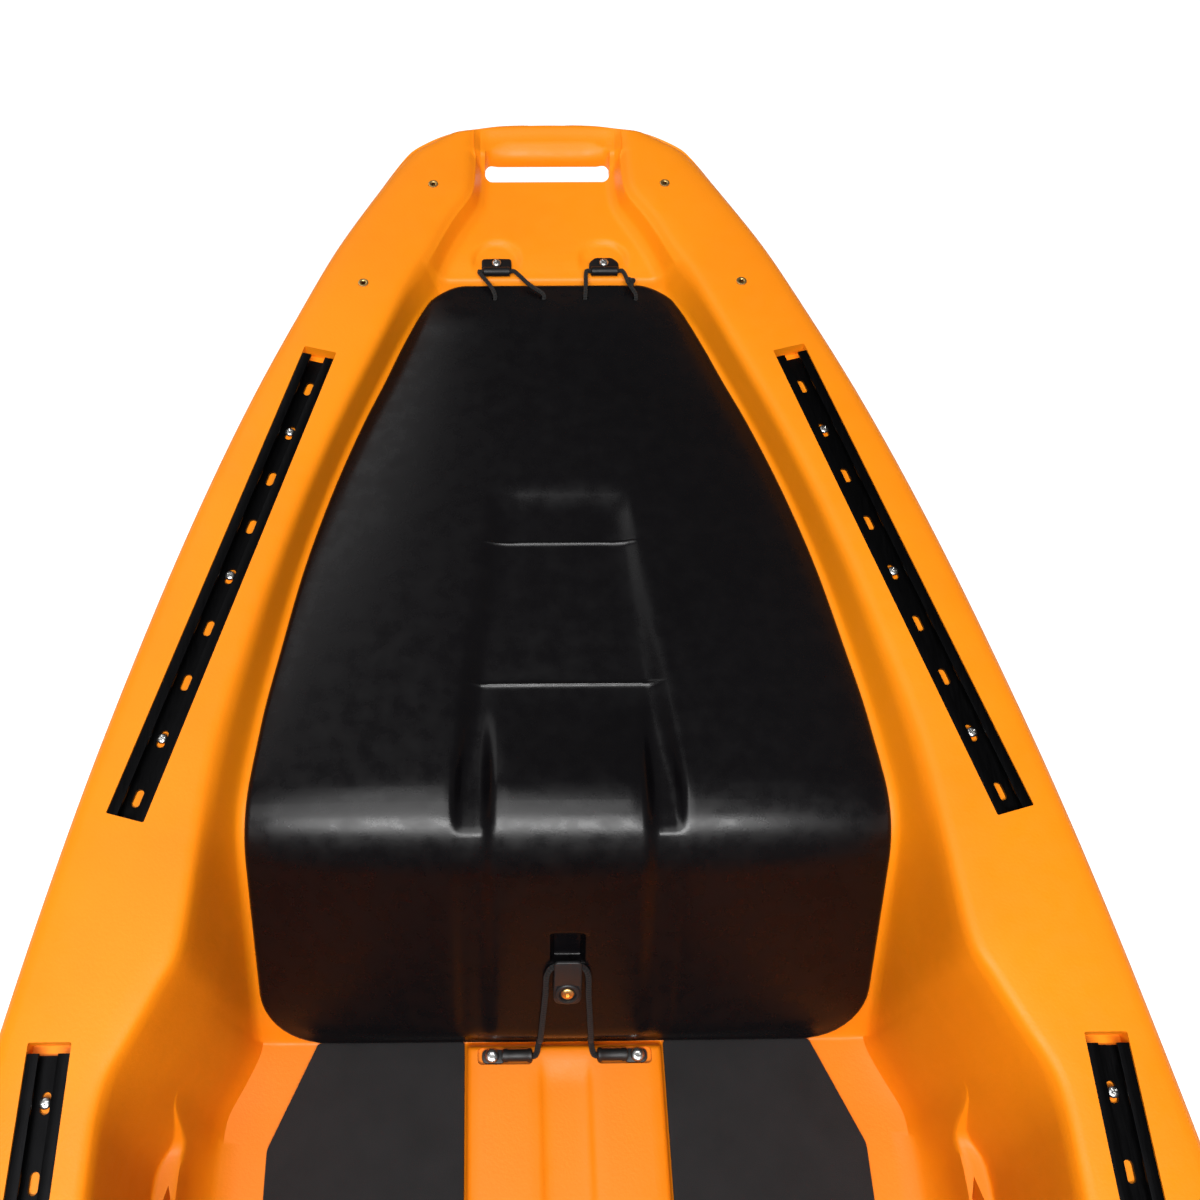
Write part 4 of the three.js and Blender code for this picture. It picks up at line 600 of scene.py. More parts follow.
for side_name, side in SIDES:
    pocket = (side * TAIL_POCKET_OUT, along(SLEEVE_AFT), SPINE_TOP - TAIL_POCKET)
    rounded_block(cut_bm, *TAIL_POCKET_BOX, 0, PAST, Matrix.Translation(pocket), 4)
    for where, place, out, turn, screws in TRACK_SETS:
        track_frame = gunwale_frame(side * out, place, side * turn, TRACK_DROP)
        bed_frame = track_frame @ Matrix.Translation((0, (BED_SHIFT - TRACK_LENGTH) / 2, 0))
        rounded_block(cut_bm, BED_WIDE, TRACK_LENGTH + BED_SPARE, BED_CORNER, -0.0003, 0.04,
                      bed_frame, 2)
        for index in screws:
            foot_at = track_frame @ Vector((0, -TRACK_FIRST - index * SLOT_PITCH, -0.003))
            drill(cut_bm, foot_at, 0.012, 0.006, TRACK_HOLE, 12)
    for row, place, out in INSERTS:
        spot = gunwale_frame(side * out, place).translation
        drill(cut_bm, spot, INSERT_DEEP, 0.01, INSERT_HOLE, 20)
    holder = Vector((side * HOLDER_OUT, along(HOLDER_AFT), gunwale(HOLDER_AFT)))
    round_bar(cut_bm, holder - HOLDER_LEAN * 0.06, holder + HOLDER_LEAN * HOLDER_DEEP,
              HOLDER_HOLE, 32)
    for place, out, floor_at in SCUPPERS:
        spot = Vector((side * out * HALF_BEAM, along(place * HULL_LENGTH), 0))
        drill(cut_bm, spot, PAST, floor_at + PAST, SCUPPER_HOLE, 24)
spot = Vector((PLUG_PLACE[0], along(PLUG_PLACE[1]), gunwale(PLUG_PLACE[1])))
drill(cut_bm, spot, PAST, 0.02, PLUG_HOLE, 24)
for side_name, side in SIDES:
    for number in range(NOTCHES):
        at = NOTCH_FIRST + number * NOTCH_PITCH
        edge = HALF_BEAM * follow(COCKPIT_EDGE, at / HULL_LENGTH)
        middle = side * (edge - 0.68 * LEDGE_WIDTH)
        near, far = NOTCH_SPAN
        outline = ((0, 0), (NOTCH_HALF, near), (NOTCH_HALF, far), (-NOTCH_HALF, far),
                   (-NOTCH_HALF, near))
        face = [cut_bm.verts.new((middle + x, along(at + y), LEDGE_HEIGHT - NOTCH_DEPTH))
                for x, y in outline]
        pull(cut_bm, [cut_bm.faces.new(face)], 0.04)

# The hold under the hatch: the hollow hull shows through the opening when the hatch is up.
HATCH_LEDGE = 0.028
HOLD_ENDS = (0.208, 0.82)
HOLD_PLACES = (0.207, 0.22, 0.245, 0.28, 0.33, 0.4, 0.48, 0.56, 0.63, 0.68, 0.7, 0.72, 0.74, 0.76,
               0.79, 0.823)


def hold_half(aft):
    width, low = half_breadth(aft) - SHELL_WALL, keel_height(aft) + SHELL_WALL
    rim = gunwale(aft)
    full = follow(FULLNESS, aft / HULL_LENGTH)
    seat = deck_floor(aft)
    half = [(0, low)]
    for fine, wide in zip(FINE_SECTION[:6], FULL_SECTION[:6]):
        z = low + (rim - low) * mix(fine[1], wide[1], full)
        half.append((width * mix(fine[0], wide[0], full) - 0.002, min(z, seat - 0.012)))
    ledge = HATCH_LEDGE if HOLD_ENDS[0] <= aft <= HOLD_ENDS[1] else 2 * HATCH_LEDGE
    lip = max(0.02, cockpit_foot(aft) - ledge)
    half += [(max(half[-1][0], lip + 0.004), seat - 0.009), (lip, seat - 0.008), (lip, seat + 0.02),
             (0, seat + 0.02)]
    return half


hold_bm = bmesh.new()
cap_ends(hold_bm, loft(hold_bm, [whole_ring(aft, hold_half(aft)) for aft in HOLD_PLACES]))
cut_away(hull, [under_bm, cut_bm, hold_bm], angle=44)


def shader(name, colour, roughness, metallic=0.0, specular=0.5, sheen=0.0):
    """A material with its plain numbers on the shader's own sockets, and what its nodes need."""
    made = bpy.data.materials.new(name)
    made.use_nodes = True
    tree = made.node_tree
    surface = tree.nodes["Principled BSDF"]
    for socket, value in (("Base Color", (*colour, 1)), ("Roughness", roughness),
                          ("Metallic", metallic), ("Specular IOR Level", specular),
                          ("Sheen Weight", sheen)):
        surface.inputs[socket].default_value = value
    place = tree.nodes.new("ShaderNodeTexCoord").outputs["Object"]
    return made, tree, surface, place


def add(tree, kind, **values):
    """A node whose inputs are set by name, or joined where the value is another node's socket."""
    made = tree.nodes.new("ShaderNode" + kind)
    for name, value in values.items():
        if hasattr(value, "links"):
            tree.links.new(value, made.inputs[name])
        else:
            made.inputs[name].default_value = value
    return made


def grain(tree, place, scale, detail=3.0):
    made = add(tree, "TexNoise", Scale=scale, Detail=detail, Roughness=0.55, Vector=place)
    return made.outputs["Fac"]


def between(tree, factor, low, high, start=0.3, end=0.7):
    """Colours or greys spread over a pattern's range."""
    ramp = add(tree, "ValToRGB", Fac=factor)
    for element, place, tint in zip(ramp.color_ramp.elements, (start, end), (low, high)):
        element.position = place
        element.color = (*tint, 1) if hasattr(tint, "__len__") else (tint, tint, tint, 1)
    return ramp.outputs["Color"]


def multiplied(tree, first, second):
    """The product of two colours."""
    made = tree.nodes.new("ShaderNodeMix")
    made.data_type, made.blend_type = "RGBA", "MULTIPLY"
    made.inputs["Factor"].default_value = 1.0
    tree.links.new(first, made.inputs["A"])
    tree.links.new(second, made.inputs["B"])
    return made.outputs["Result"]


def reckon(tree, kind, *values):
    """A sum, product or other function of sockets and numbers."""
    made = tree.nodes.new("ShaderNodeMath")
    made.operation = kind
    for socket, value in zip(made.inputs, values):
        if hasattr(value, "links"):
            tree.links.new(value, socket)
        else:
            socket.default_value = value
    return made.outputs[0]


def raise_by(tree, surface, height, distance, under=None):
    bump = add(tree, "Bump", Distance=distance, Strength=1.0, Height=height)
    if under is not None:
        tree.links.new(under, bump.inputs["Normal"])
    tree.links.new(bump.outputs["Normal"], surface.inputs["Normal"])
    return bump.outputs["Normal"]


def moulded(name, colour, deeper, roughness, pebble=420, depth=0.00013, wave=0.0005, specular=0.5):
    """Rotomoulded plastic: a fine pebble from the mould, slow waves, and a faint mottle."""
    made, tree, surface, place = shader(name, colour, roughness, specular=specular)
    mottle = grain(tree, place, 5.5, 5.0)
    tree.links.new(between(tree, mottle, deeper, colour, 0.25, 0.62), surface.inputs["Base Color"])
    rough = between(tree, grain(tree, place, 60, 4.0), roughness - 0.06, roughness + 0.07)
    tree.links.new(rough, surface.inputs["Roughness"])
    slow = raise_by(tree, surface, grain(tree, place, 9, 2.0), wave)
    raise_by(tree, surface, grain(tree, place, pebble, 2.0), depth, slow)
    return made


def dress(thing, material, body, slot_name, *replaced):
    """Gives a piece its material and its body, and hides the CAD nodes it stands for. The slot name
    is not used.
    """
    thing.data.materials.clear()
    thing.data.materials.append(material)
    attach(thing, body)
    if replaced:
        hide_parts(*replaced)
    return thing


orange_plastic = moulded(
    "orange_polyethylene", (0.94, 0.270, 0.003), (0.88, 0.232, 0.002), 0.48, specular=0.32)
orange = orange_plastic.node_tree
orange_base = orange.nodes["Principled BSDF"].inputs["Base Color"]
orange_place = orange.nodes["Texture Coordinate"].outputs["Object"]
# Painted shade: the orange's colour is darkened towards the bottom, most below 0.13 m up and not at
# all above 0.27 m, so the footwell's floor and walls and the hull's lower sides look shaded.
heights = add(orange, "SeparateXYZ", Vector=orange_place)
painted_low_shade = between(orange, heights.outputs[2], (0.86, 0.79, 0.73), (1.0, 1.0, 1.0), 0.13, 0.27)
orange.links.new(multiplied(orange, orange_base.links[0].from_socket, painted_low_shade), orange_base)
dress(hull, orange_plastic, "hull", "orange_shell", "hull")

# Bow hatch: one black polyethylene moulding that follows the seat over its bend. A panel sunk in
# its middle deepens aft into two troughs that end in the bend, and the top between them rises
# there. It has two cast ridges across, a thumb pocket and a rolled edge, and lies on its gasket.
LID_GAP, LID_ENDS, LID_CORNERS = 0.006, (0.0024, 0.0072), (0.024, 0.056)
LID_TOP, LID_SHEET, LID_ROLL, LID_LOW = 0.0111, 0.0032, 0.0055, 0.0018
LID_CROWN, LID_RIM, LID_FADE = 0.012, 0.012, (0.06, 0.027)
PANEL_START, PANEL_HALF, PANEL_RISE, PANEL_SUNK = (0.240, 0.266), (0.0575, 0.0705), 0.003, 0.0058
TROUGH_DEPTH, FRONT_LIFT = 0.0108, 0.0042
TROUGH_OUT = [(0.24, 0.064), (0.30, 0.070), (0.434, 0.088), (0.52, 0.0935), (0.6, 0.0945)]
LID_BEND = HATCH_BEND - HATCH_FRONT
FRONT_SPAN = (0.012, 0.075)
RIDGES, RIDGE_RISE, RIDGE_WIDE = ((0.3005, 0.068), (0.4337, 0.081)), 0.0013, 0.0013
POCKET_HALF, POCKET_DEPTH = 0.0125, 0.009
CORD_HOLES = {"left": (-0.055, -0.008), "right": (0.033, 0.082)}
CORD_ROW, CORD_HOLE = 0.022, 0.0030
LID_NEAR = [v / 1000 for v in (
    0, 4, 8, 10.5, 12.5, 14.5, 18, 24, 34, 46, 56, 60, 63, 65.5, 68, 71, 75, 79, 83, 86, 89, 92, 95,
    100,
)]
LID_FAR = (0.12, 0.27, 0.43, 0.6, 0.75, 0.87, 0.95, 1)

seat_marks = [0.0]
for (aft_0, z_0), (aft_1, z_1) in zip(seat_line, seat_line[1:]):
    seat_marks.append(seat_marks[-1] + math.hypot(aft_1 - aft_0, z_1 - z_0))
SEAT_TOTAL = seat_marks[-1]
LID_START, LID_END = LID_ENDS[0], SEAT_TOTAL - LID_ENDS[1]
HOOK_AT = 0.0004 + 0.9 * (SEAT_TOTAL - 0.013)
POCKET_RUN = (HOOK_AT - 0.053, HOOK_AT - 0.021)


def seat_spot(distance):
    """How far aft and how high a place on the seat's line lies."""
    places = list(zip(seat_marks, seat_line))
    return Vector([straight([(mark, spot[k]) for mark, spot in places], distance) for k in (0, 1)])


def on_seat(distance, x, lift):
    """A place over the hatch's seat, so far along it, across, and off it."""
    way = seat_spot(min(distance + 0.009, SEAT_TOTAL)) - seat_spot(max(distance - 0.009, 0))
    way.normalize()
    spot = seat_spot(distance) + Vector((-way.y, way.x)) * lift
    return Vector((x, along(spot.x), spot.y))


def lid_half(distance, inset=0.0):
    def loss(radius, reach):
        if reach >= radius:
            return 0
        return radius - math.sqrt(max(radius ** 2 - (radius - reach) ** 2, 0))

    half = cockpit_foot(seat_spot(distance).x) - LID_GAP - inset
    half -= loss(LID_CORNERS[0] - inset, distance - LID_START - inset)
    return half - loss(LID_CORNERS[1] - inset, LID_END - inset - distance)


def top_lift(distance, x):
    """How far the lid's top face stands off the seat."""
    half, out = lid_half(distance), abs(x)
    start, end = distance - LID_START, LID_END - distance
    crown = LID_CROWN * ease(0, LID_RIM, min(half - out, start, end))
    crown *= 1 - min(out / half, 1) ** 3
    crown *= ease(0, LID_FADE[0], start) * ease(0, LID_FADE[1], end)
    outer = straight(TROUGH_OUT, distance)
    panel = ease(LID_BEND - 0.11, LID_BEND - 0.015, distance) * (1 - ease(*PANEL_HALF, out))
    sunk = ease(*PANEL_START, distance) * ease(0, 0.05, end)
    depth = mix(PANEL_SUNK, TROUGH_DEPTH, ease(0.34, LID_BEND - 0.04, distance))
    sunk *= max(depth - 8.3 * max(distance - LID_BEND + BEND_REACH, 0) ** 2, 0.0007)
    sunk *= 1 - ease(outer - mix(0.021, 0.009, ease(0.43, LID_BEND, distance)), outer, out)
    lift = LID_TOP + crown + panel * PANEL_RISE * ease(0, LID_FADE[1], end) - sunk * (1 - panel)
    lift += FRONT_LIFT * (1 - ease(*FRONT_SPAN, start))
    for place, reach in RIDGES:
        ridge = RIDGE_RISE * math.exp(-((distance - place) / RIDGE_WIDE) ** 2)
        lift += ridge * (1 - ease(reach - 0.008, reach, out))
    inside = 1 - ease(POCKET_HALF - 0.0018, POCKET_HALF + 0.0018, out)
    inside *= ease(POCKET_RUN[0], POCKET_RUN[0] + 0.006, distance)
    return lift - POCKET_DEPTH * inside * (1 - ease(POCKET_RUN[1] - 0.003, POCKET_RUN[1], distance))


def lid_rows(inset, main):
    front, rear = LID_CORNERS[0] - inset, LID_CORNERS[1] - inset
    first, last = LID_START + inset, LID_END - inset
    turns = arc(0, 9, 11)
    rows = [first + front * (1 - math.cos(t)) for t in turns]
    rows += [v for v in main if first + front + 0.002 < v < last - rear - 0.002]
    return rows + [last - rear * (1 - math.cos(t)) for t in reversed(turns)]


def round_outline(rows):
    """The places on a grid's border, in order round it."""
    right, left = [row[-1] for row in rows[1:-1]], [row[0] for row in rows[-2:0:-1]]
    return rows[0] + right + rows[-1][::-1] + left


def lid_columns(half):
    fit = min(1, 0.8 * half / LID_NEAR[-1])
    right = [x * fit for x in LID_NEAR]
    right += [mix(right[-1], half, t) for t in LID_FAR]
    return [-x for x in right[:0:-1]] + right


lid_main = [0.009 * k for k in range(1, 100)]
lid_main += [0.5 + 0.0035 * k for k in range(28)]
lid_main += [place + step for place, reach in RIDGES for step in (
    -0.0045, -0.0026, -0.0015, -0.0007, 0, 0.0007, 0.0015, 0.0026, 0.0045)]
lid_main += [POCKET_RUN[0] + 0.0012 * k for k in range(6)]
lid_main += [POCKET_RUN[1] - 0.0008 * k for k in range(5)]
lid_main = sorted(lid_main)
lid_main = [v for i, v in enumerate(lid_main) if i == 0 or v - lid_main[i - 1] > 0.0004]
lid_grid = [[(d, x) for x in lid_columns(lid_half(d, LID_ROLL))]
            for d in lid_rows(LID_ROLL, lid_main)]
lid_wide = len(lid_grid[0])
lid_bm = bmesh.new()
lid_verts = bmesh.ops.create_grid(
    lid_bm, x_segments=lid_wide - 1, y_segments=len(lid_grid) - 1, size=1)["verts"]
for vert, (d, x) in zip(lid_verts, [place for row in lid_grid for place in row]):
    vert.co = on_seat(d, x, top_lift(d, x))
border = round_outline(lid_grid)
border_verts = round_outline(
    [lid_verts[i * lid_wide:(i + 1) * lid_wide] for i in range(len(lid_grid))])
lid_rings = [[] for k in range(8)]
for i, (d, x) in enumerate(border):
    (d_0, x_0), (d_1, x_1) = border[i - 1], border[(i + 1) % len(border)]
    way = Vector((x_1 - x_0, d_1 - d_0)).normalized()
    lift = top_lift(d, x)
    for k, turn in enumerate(arc(15, 15, 6)):
        out, down = LID_ROLL * math.sin(turn), LID_ROLL * (1 - math.cos(turn))
        lid_rings[k].append(on_seat(d - way.x * out, x + way.y * out, lift - down))
    for k, low in ((6, mix(lift - LID_ROLL, LID_LOW, 0.6)), (7, LID_LOW)):
        lid_rings[k].append(on_seat(d - way.x * LID_ROLL, x + way.y * LID_ROLL, low))
loft(lid_bm, lid_rings, border_verts)
bmesh.ops.recalc_face_normals(lid_bm, faces=lid_bm.faces)
if sum(face.normal.z for face in lid_bm.faces) < 0:
    bmesh.ops.reverse_faces(lid_bm, faces=lid_bm.faces)
lid = as_object(lid_bm, "hatch_lid")
thick = lid.modifiers.new("sheet", "SOLIDIFY")
thick.thickness, thick.offset, thick.use_even_offset = LID_SHEET, -1, True


hole_bm = bmesh.new()
for side_name, side in SIDES:
    for x in CORD_HOLES[side_name]:
        drill(hole_bm, on_seat(LID_START + CORD_ROW, x, LID_TOP), 0.02, 0.02, CORD_HOLE, 20)
cut_away(lid, [hole_bm], angle=50)
black_plastic = moulded("black_polyethylene", (0.0030, 0.0026, 0.0032), (0.0022, 0.0019, 0.0024),
                        0.28, 650, 0.00004, 0.0001, 0.26)
dress(lid, black_plastic, "bow_hatch", "black_shell", "bow_hatch")

# Hatch gasket: a D-section ring of moulded rubber on the seat, all the way round the opening.
# It is glued to the hull and stays there when the lid lifts off it.
GASKET_SECTION = (
    (10.5, 0.3), (10, 1.2), (10, 4.4), (11.2, 6.2), (13, 6.9), (15, 7), (17, 6.9), (18.8, 6.2),
    (20, 4.4), (20, 1.2), (19.5, 0.3),
)


def thousandths(places):
    return [tuple(v / 1000 for v in place) for place in places]


def bridge(bm, *loops):
    """Joins two closed loops of a form with faces."""
    edges = [bm.edges.get((a, b)) for loop in loops for a, b in zip(loop, loop[1:] + loop[:1])]
    bmesh.ops.bridge_loops(bm, edges=edges)


def gasket_loop(inset, lift):
    rows = lid_rows(inset, lid_main[::3])
    right = [on_seat(d, lid_half(d, inset), lift) for d in rows]
    left = [on_seat(d, -lid_half(d, inset), lift) for d in rows]
    return right + left[::-1]


gasket_bm = bmesh.new()
gasket_rings = loft(gasket_bm, [gasket_loop(*place) for place in thousandths(GASKET_SECTION)])
bridge(gasket_bm, gasket_rings[0], gasket_rings[-1])
rubber = moulded("black_rubber", (0.0080, 0.0078, 0.0082), (0.0052, 0.0050, 0.0054), 0.50, 900,
                 0.00008, 0.0001)
dress(finish_mesh(gasket_bm, "gasket_ring"), rubber, "hull", "black_rubber", "hatch_gasket")

# Hinge clips: black nylon plates with a barrel, each held in its pocket by one stainless pan-head
# screw. The left one is square in front, and the right one comes to a blunt point.
CLIP_WIDE, CLIP_PLATE, CLIP_REACH = 0.030, 0.0035, 0.011
BARREL, BARREL_SOFT, CORD_BORE = 0.0046, 0.0006, 0.0030
REST = 0.0003  # the gap under a piece that lies on another
CLIP_NOSES = {"left": ((-0.0145, 0.0068), (0, 0.0072), (0.0145, 0.0068)),
              "right": ((-0.0145, 0.0015), (-0.0085, 0.0078), (0.0085, 0.0078), (0.0145, 0.0015))}
HEAD, HEAD_HIGH, SHANK, SHANK_LONG = 0.0046, 0.0027, 0.0022, 0.012


def put(bm, piece, matrix=Matrix()):
    """Sets a finished form into a larger one."""
    bmesh.ops.transform(piece, matrix=matrix, verts=piece.verts)
    held = bpy.data.meshes.new("held")
    piece.to_mesh(held)
    piece.free()
    bm.from_mesh(held)
    bpy.data.meshes.remove(held)


def slab(outline, low, high, soft=0.0, steps=2):
    """A flat form of an outline's shape, from low to high, with its rims rounded."""
    bm = bmesh.new()
    pull(bm, [bm.faces.new([bm.verts.new((x, y, low)) for x, y in outline])], high - low)
    if soft:
        rims = [e for e in bm.edges if abs(e.verts[0].co.z - e.verts[1].co.z) < 1e-7]
        bmesh.ops.bevel(bm, geom=rims, affect="EDGES", offset=soft, segments=steps, profile=0.5,
                        material=-1)
    bmesh.ops.recalc_face_normals(bm, faces=bm.faces)
    return bm


def corners(x, y):
    return [(-x, -y), (x, -y), (x, y), (-x, y)]


def rounded(outline, radius, steps=5):
    """An outline with its corners rounded."""
    made = []
    for i, corner in enumerate(outline):
        here, after = Vector(corner), Vector(outline[(i + 1) % len(outline)])
        before = Vector(outline[i - 1])
        reach = min(radius, 0.48 * (before - here).length, 0.48 * (after - here).length)
        a = here + (before - here).normalized() * reach
        b = here + (after - here).normalized() * reach
        made += [a * (1 - t) ** 2 + here * 2 * t * (1 - t) + b * t * t
                 for t in (k / steps for k in range(steps + 1))]
    return [(p.x, p.y) for p in made]


def round_turns(faces):
    return [2 * math.pi * k / faces for k in range(faces)]


def turned(profile, faces=32, ring=False):
    """A form turned about Z from (radius, height) pairs, with flat ends or closed on itself."""
    bm = bmesh.new()
    rings = loft(bm, [[Vector((r * math.cos(t), r * math.sin(t), z)) for t in round_turns(faces)]
                      for r, z in profile])
    if ring:
        bridge(bm, rings[0], rings[-1])
    else:
        cap_ends(bm, rings)
    return bm


def placed(bm, matrix):
    """A form moved to a frame."""
    bmesh.ops.transform(bm, matrix=matrix, verts=bm.verts)
    return bm


def screw(name, matrix, replaced, material, slot_name, body="hull", head=HEAD, high=HEAD_HIGH,
          long=SHANK_LONG, drive="cross"):
    """A screw or bolt with a rounded head, and a cross or hexagon sunk in it."""
    profile = [(SHANK * 0.3, -long), (SHANK, -long + SHANK), (SHANK, 0)]
    profile += [(head * r, high * z) for r, z in (
        (0.96, 0), (1, 0.15), (1, 0.35), (0.93, 0.62), (0.78, 0.82), (0.5, 0.97), (0.2, 1))]
    made = finish_mesh(placed(turned(profile, 28), matrix), name)
    tool = bmesh.new()
    if drive == "cross":
        for turn in (0, math.pi / 2):
            outline = corners(head * 0.62, head * 0.11)
            put(tool, slab(outline, 0.4 * high, 2 * high + 0.0001 * (turn > 0)),
                matrix @ Matrix.Rotation(turn + 0.5, 4, "Z"))
    else:
        put(tool, turned([(head * 0.42, 0.3 * high), (head * 0.42, 2 * high)], 6), matrix)
    cut_away(made, [tool], True)
    dress(made, material, body, slot_name, replaced)


def metal(name, colour, roughness, brushed=0.00003):
    made, tree, surface, place = shader(name, colour, roughness, metallic=1.0)
    wear = grain(tree, place, 900, 3.0)
    tint = between(tree, wear, [c * 0.8 for c in colour], colour)
    tree.links.new(tint, surface.inputs["Base Color"])
    rough = between(tree, grain(tree, place, 300, 4.0), roughness - 0.07, roughness + 0.09)
    tree.links.new(rough, surface.inputs["Roughness"])
    raise_by(tree, surface, wear, brushed)
    return made


steel = metal("stainless_steel", (0.66, 0.66, 0.65), 0.30)
brass = metal("brass", (0.86, 0.58, 0.22), 0.36)
nylon = moulded("black_nylon", (0.0060, 0.0058, 0.0063), (0.0040, 0.0039, 0.0043), 0.42, 800,
                0.00008, 0.0001, 0.28)
for side_name, side in SIDES:
    clip_frame = gunwale_frame(side * CLIP_OUT, CLIP_AFT, 0, PAN_DEPTH + 0.004)
    clip_bm = bmesh.new()
    outline = [(-0.0148, -CLIP_REACH), *CLIP_NOSES[side_name], (0.0148, -CLIP_REACH)]
    put(clip_bm, slab(rounded(outline, 0.003), REST, REST + CLIP_PLATE, 0.0008), clip_frame)
    half = CLIP_WIDE / 2 - 0.002
    barrel = [(CORD_BORE, -half), (BARREL - BARREL_SOFT, -half), (BARREL, -half + BARREL_SOFT),
              (BARREL, half - BARREL_SOFT), (BARREL - BARREL_SOFT, half), (CORD_BORE, half)]
    place = clip_frame @ Matrix.Translation((0, -CLIP_REACH, REST + BARREL))
    put(clip_bm, turned(barrel, 28, True), place @ Matrix.Rotation(math.pi / 2, 4, "Y"))
    dress(finish_mesh(clip_bm, f"clip_{side_name}"), nylon, "hull", "dark_plastic",
          f"hinge_clip_{side_name}")
    screw(f"clip_screw_{side_name}",
          clip_frame @ Matrix.Translation((0, REST, CLIP_PLATE + 0.0006)),
          f"hinge_screw_{side_name}", steel, "steel")

# Hinge cords: braided black cord, 4 mm thick. Each is knotted under the lid, runs up through one
# hole, through its clip's barrel and down the other hole. The right one has a second knot.
CORD, SECOND_KNOT = 0.0020, (0.0775, 1.6420, 0.3606)
HINGE_ROUTES = {
    "left": [
        (-55, 1623, 346.5), (-55, 1623, 352.5), (-55, 1628.1, 358.2), (-60, 1640.7, 358.6),
        (-70, 1656, 360.0), (-65.9, 1658.5, 358.5), (-53, 1658.5, 358.5), (-40.1, 1658.5, 358.5),
        (-35, 1656.4, 360.2), (-21.5, 1640.7, 358.8), (-8, 1628, 358.4), (-8, 1623, 352.8),
        (-8, 1623, 347.0)],
    "right": [
        (33, 1623, 346.8), (33, 1623, 352.8), (33, 1628, 358.4), (34, 1640.7, 358.8),
        (35, 1656.4, 360.2), (40.1, 1658.5, 358.5), (53, 1658.5, 358.5), (65.9, 1658.5, 358.5),
        (71, 1656.4, 360.2), (76.5, 1640.8, 358.4), (82, 1628.2, 357.4), (82, 1623.1, 351.6),
        (82, 1623.1, 345.5)],
}


def smooth_line(points, step):
    """Points close together on a smooth line through the given ones."""
    spots = [Vector(p) for p in points]
    spots = [spots[0] * 2 - spots[1]] + spots + [spots[-1] * 2 - spots[-2]]
    made = []
    for p0, p1, p2, p3 in zip(spots, spots[1:], spots[2:], spots[3:]):
        count = max(1, round((p2 - p1).length / step))
        for k in range(count):
            t = k / count
            made.append(0.5 * (2 * p1 + (p2 - p0) * t + (2 * p0 - 5 * p1 + 4 * p2 - p3) * t * t
                               + (3 * p1 - p0 - 3 * p2 + p3) * t ** 3))
    return made + [spots[-2]]


def strand(points, radius, step=0.002, faces=14):
    """A round cord or pipe along a line, marked with the angle and the distance for its braid."""
    line = smooth_line(points, step)
    bm = bmesh.new()
    rings, marks, run = [], [], 0.0
    way = (line[1] - line[0]).normalized()
    beside = way.orthogonal().normalized()
    for i, spot in enumerate(line):
        fresh = (line[min(i + 1, len(line) - 1)] - line[max(i - 1, 0)]).normalized()
        beside = way.rotation_difference(fresh) @ beside
        way = fresh
        over = way.cross(beside)
        turns = round_turns(faces)
        rings.append([spot + (beside * math.cos(t) + over * math.sin(t)) * radius for t in turns])
        run += (spot - line[i - 1]).length if i else 0
        marks.append([(math.cos(t), math.sin(t), run) for t in turns])
    layer = bm.verts.layers.float_vector.new("lay")
    made = loft(bm, rings)
    for row, places in zip(made, marks):
        for vert, mark in zip(row, places):
            vert[layer] = mark
    cap_ends(bm, made)
    bmesh.ops.recalc_face_normals(bm, faces=bm.faces)
    return bm


def knot(middle, radius, size, matrix=Matrix()):
    """An overhand knot drawn tight: a strand along a trefoil."""
    run = [Vector((math.sin(t) + 2 * math.sin(2 * t), math.cos(t) - 2 * math.cos(2 * t),
                   -1.1 * math.sin(3 * t))) for t in (2 * math.pi * k / 30 for k in range(31))]
    return strand([Vector(middle) + matrix @ (p * size / 3) for p in run], radius, 0.0015, 10)


def braided(name, colour, round_count=6, pitch=0.0045):
    """A braid of two sets of yarn that cross, from the marks along the strand."""
    made, tree, surface, place = shader(name, colour, 0.7, specular=0.3, sheen=0.04)
    lay = tree.nodes.new("ShaderNodeAttribute")
    lay.attribute_name = "lay"
    parts = add(tree, "SeparateXYZ", Vector=lay.outputs["Vector"])
    turn = reckon(tree, "ARCTAN2", parts.outputs[1], parts.outputs[0])
    angle = reckon(tree, "MULTIPLY", turn, round_count)
    run = reckon(tree, "MULTIPLY", parts.outputs[2], 2 * math.pi / pitch)
    yarns = [reckon(tree, "SINE", reckon(tree, kind, angle, run)) for kind in ("ADD", "SUBTRACT")]
    weave = reckon(tree, "MULTIPLY", *yarns)
    tint = between(tree, weave, [c * 0.45 for c in colour], [c * 1.7 for c in colour], 0, 0.7)
    tree.links.new(tint, surface.inputs["Base Color"])
    raise_by(tree, surface, weave, 0.0004)
    return made


black_cord = braided("black_cord", (0.015, 0.015, 0.015))
for side_name, side in SIDES:
    route = thousandths(HINGE_ROUTES[side_name])
    cord_bm = strand(route, CORD, 0.0015)
    for end in (route[0], route[-1]):
        put(cord_bm, knot(end, CORD * 0.9, 0.0035))
    if side > 0:
        put(cord_bm, knot(SECOND_KNOT, CORD * 0.9, 0.0036, Matrix.Rotation(1.1, 3, "X")))
    dress(finish_mesh(cord_bm, f"hatch_cord_{side_name}"), black_cord, "bow_hatch", "black_cord",
          f"hinge_cord_{side_name}")

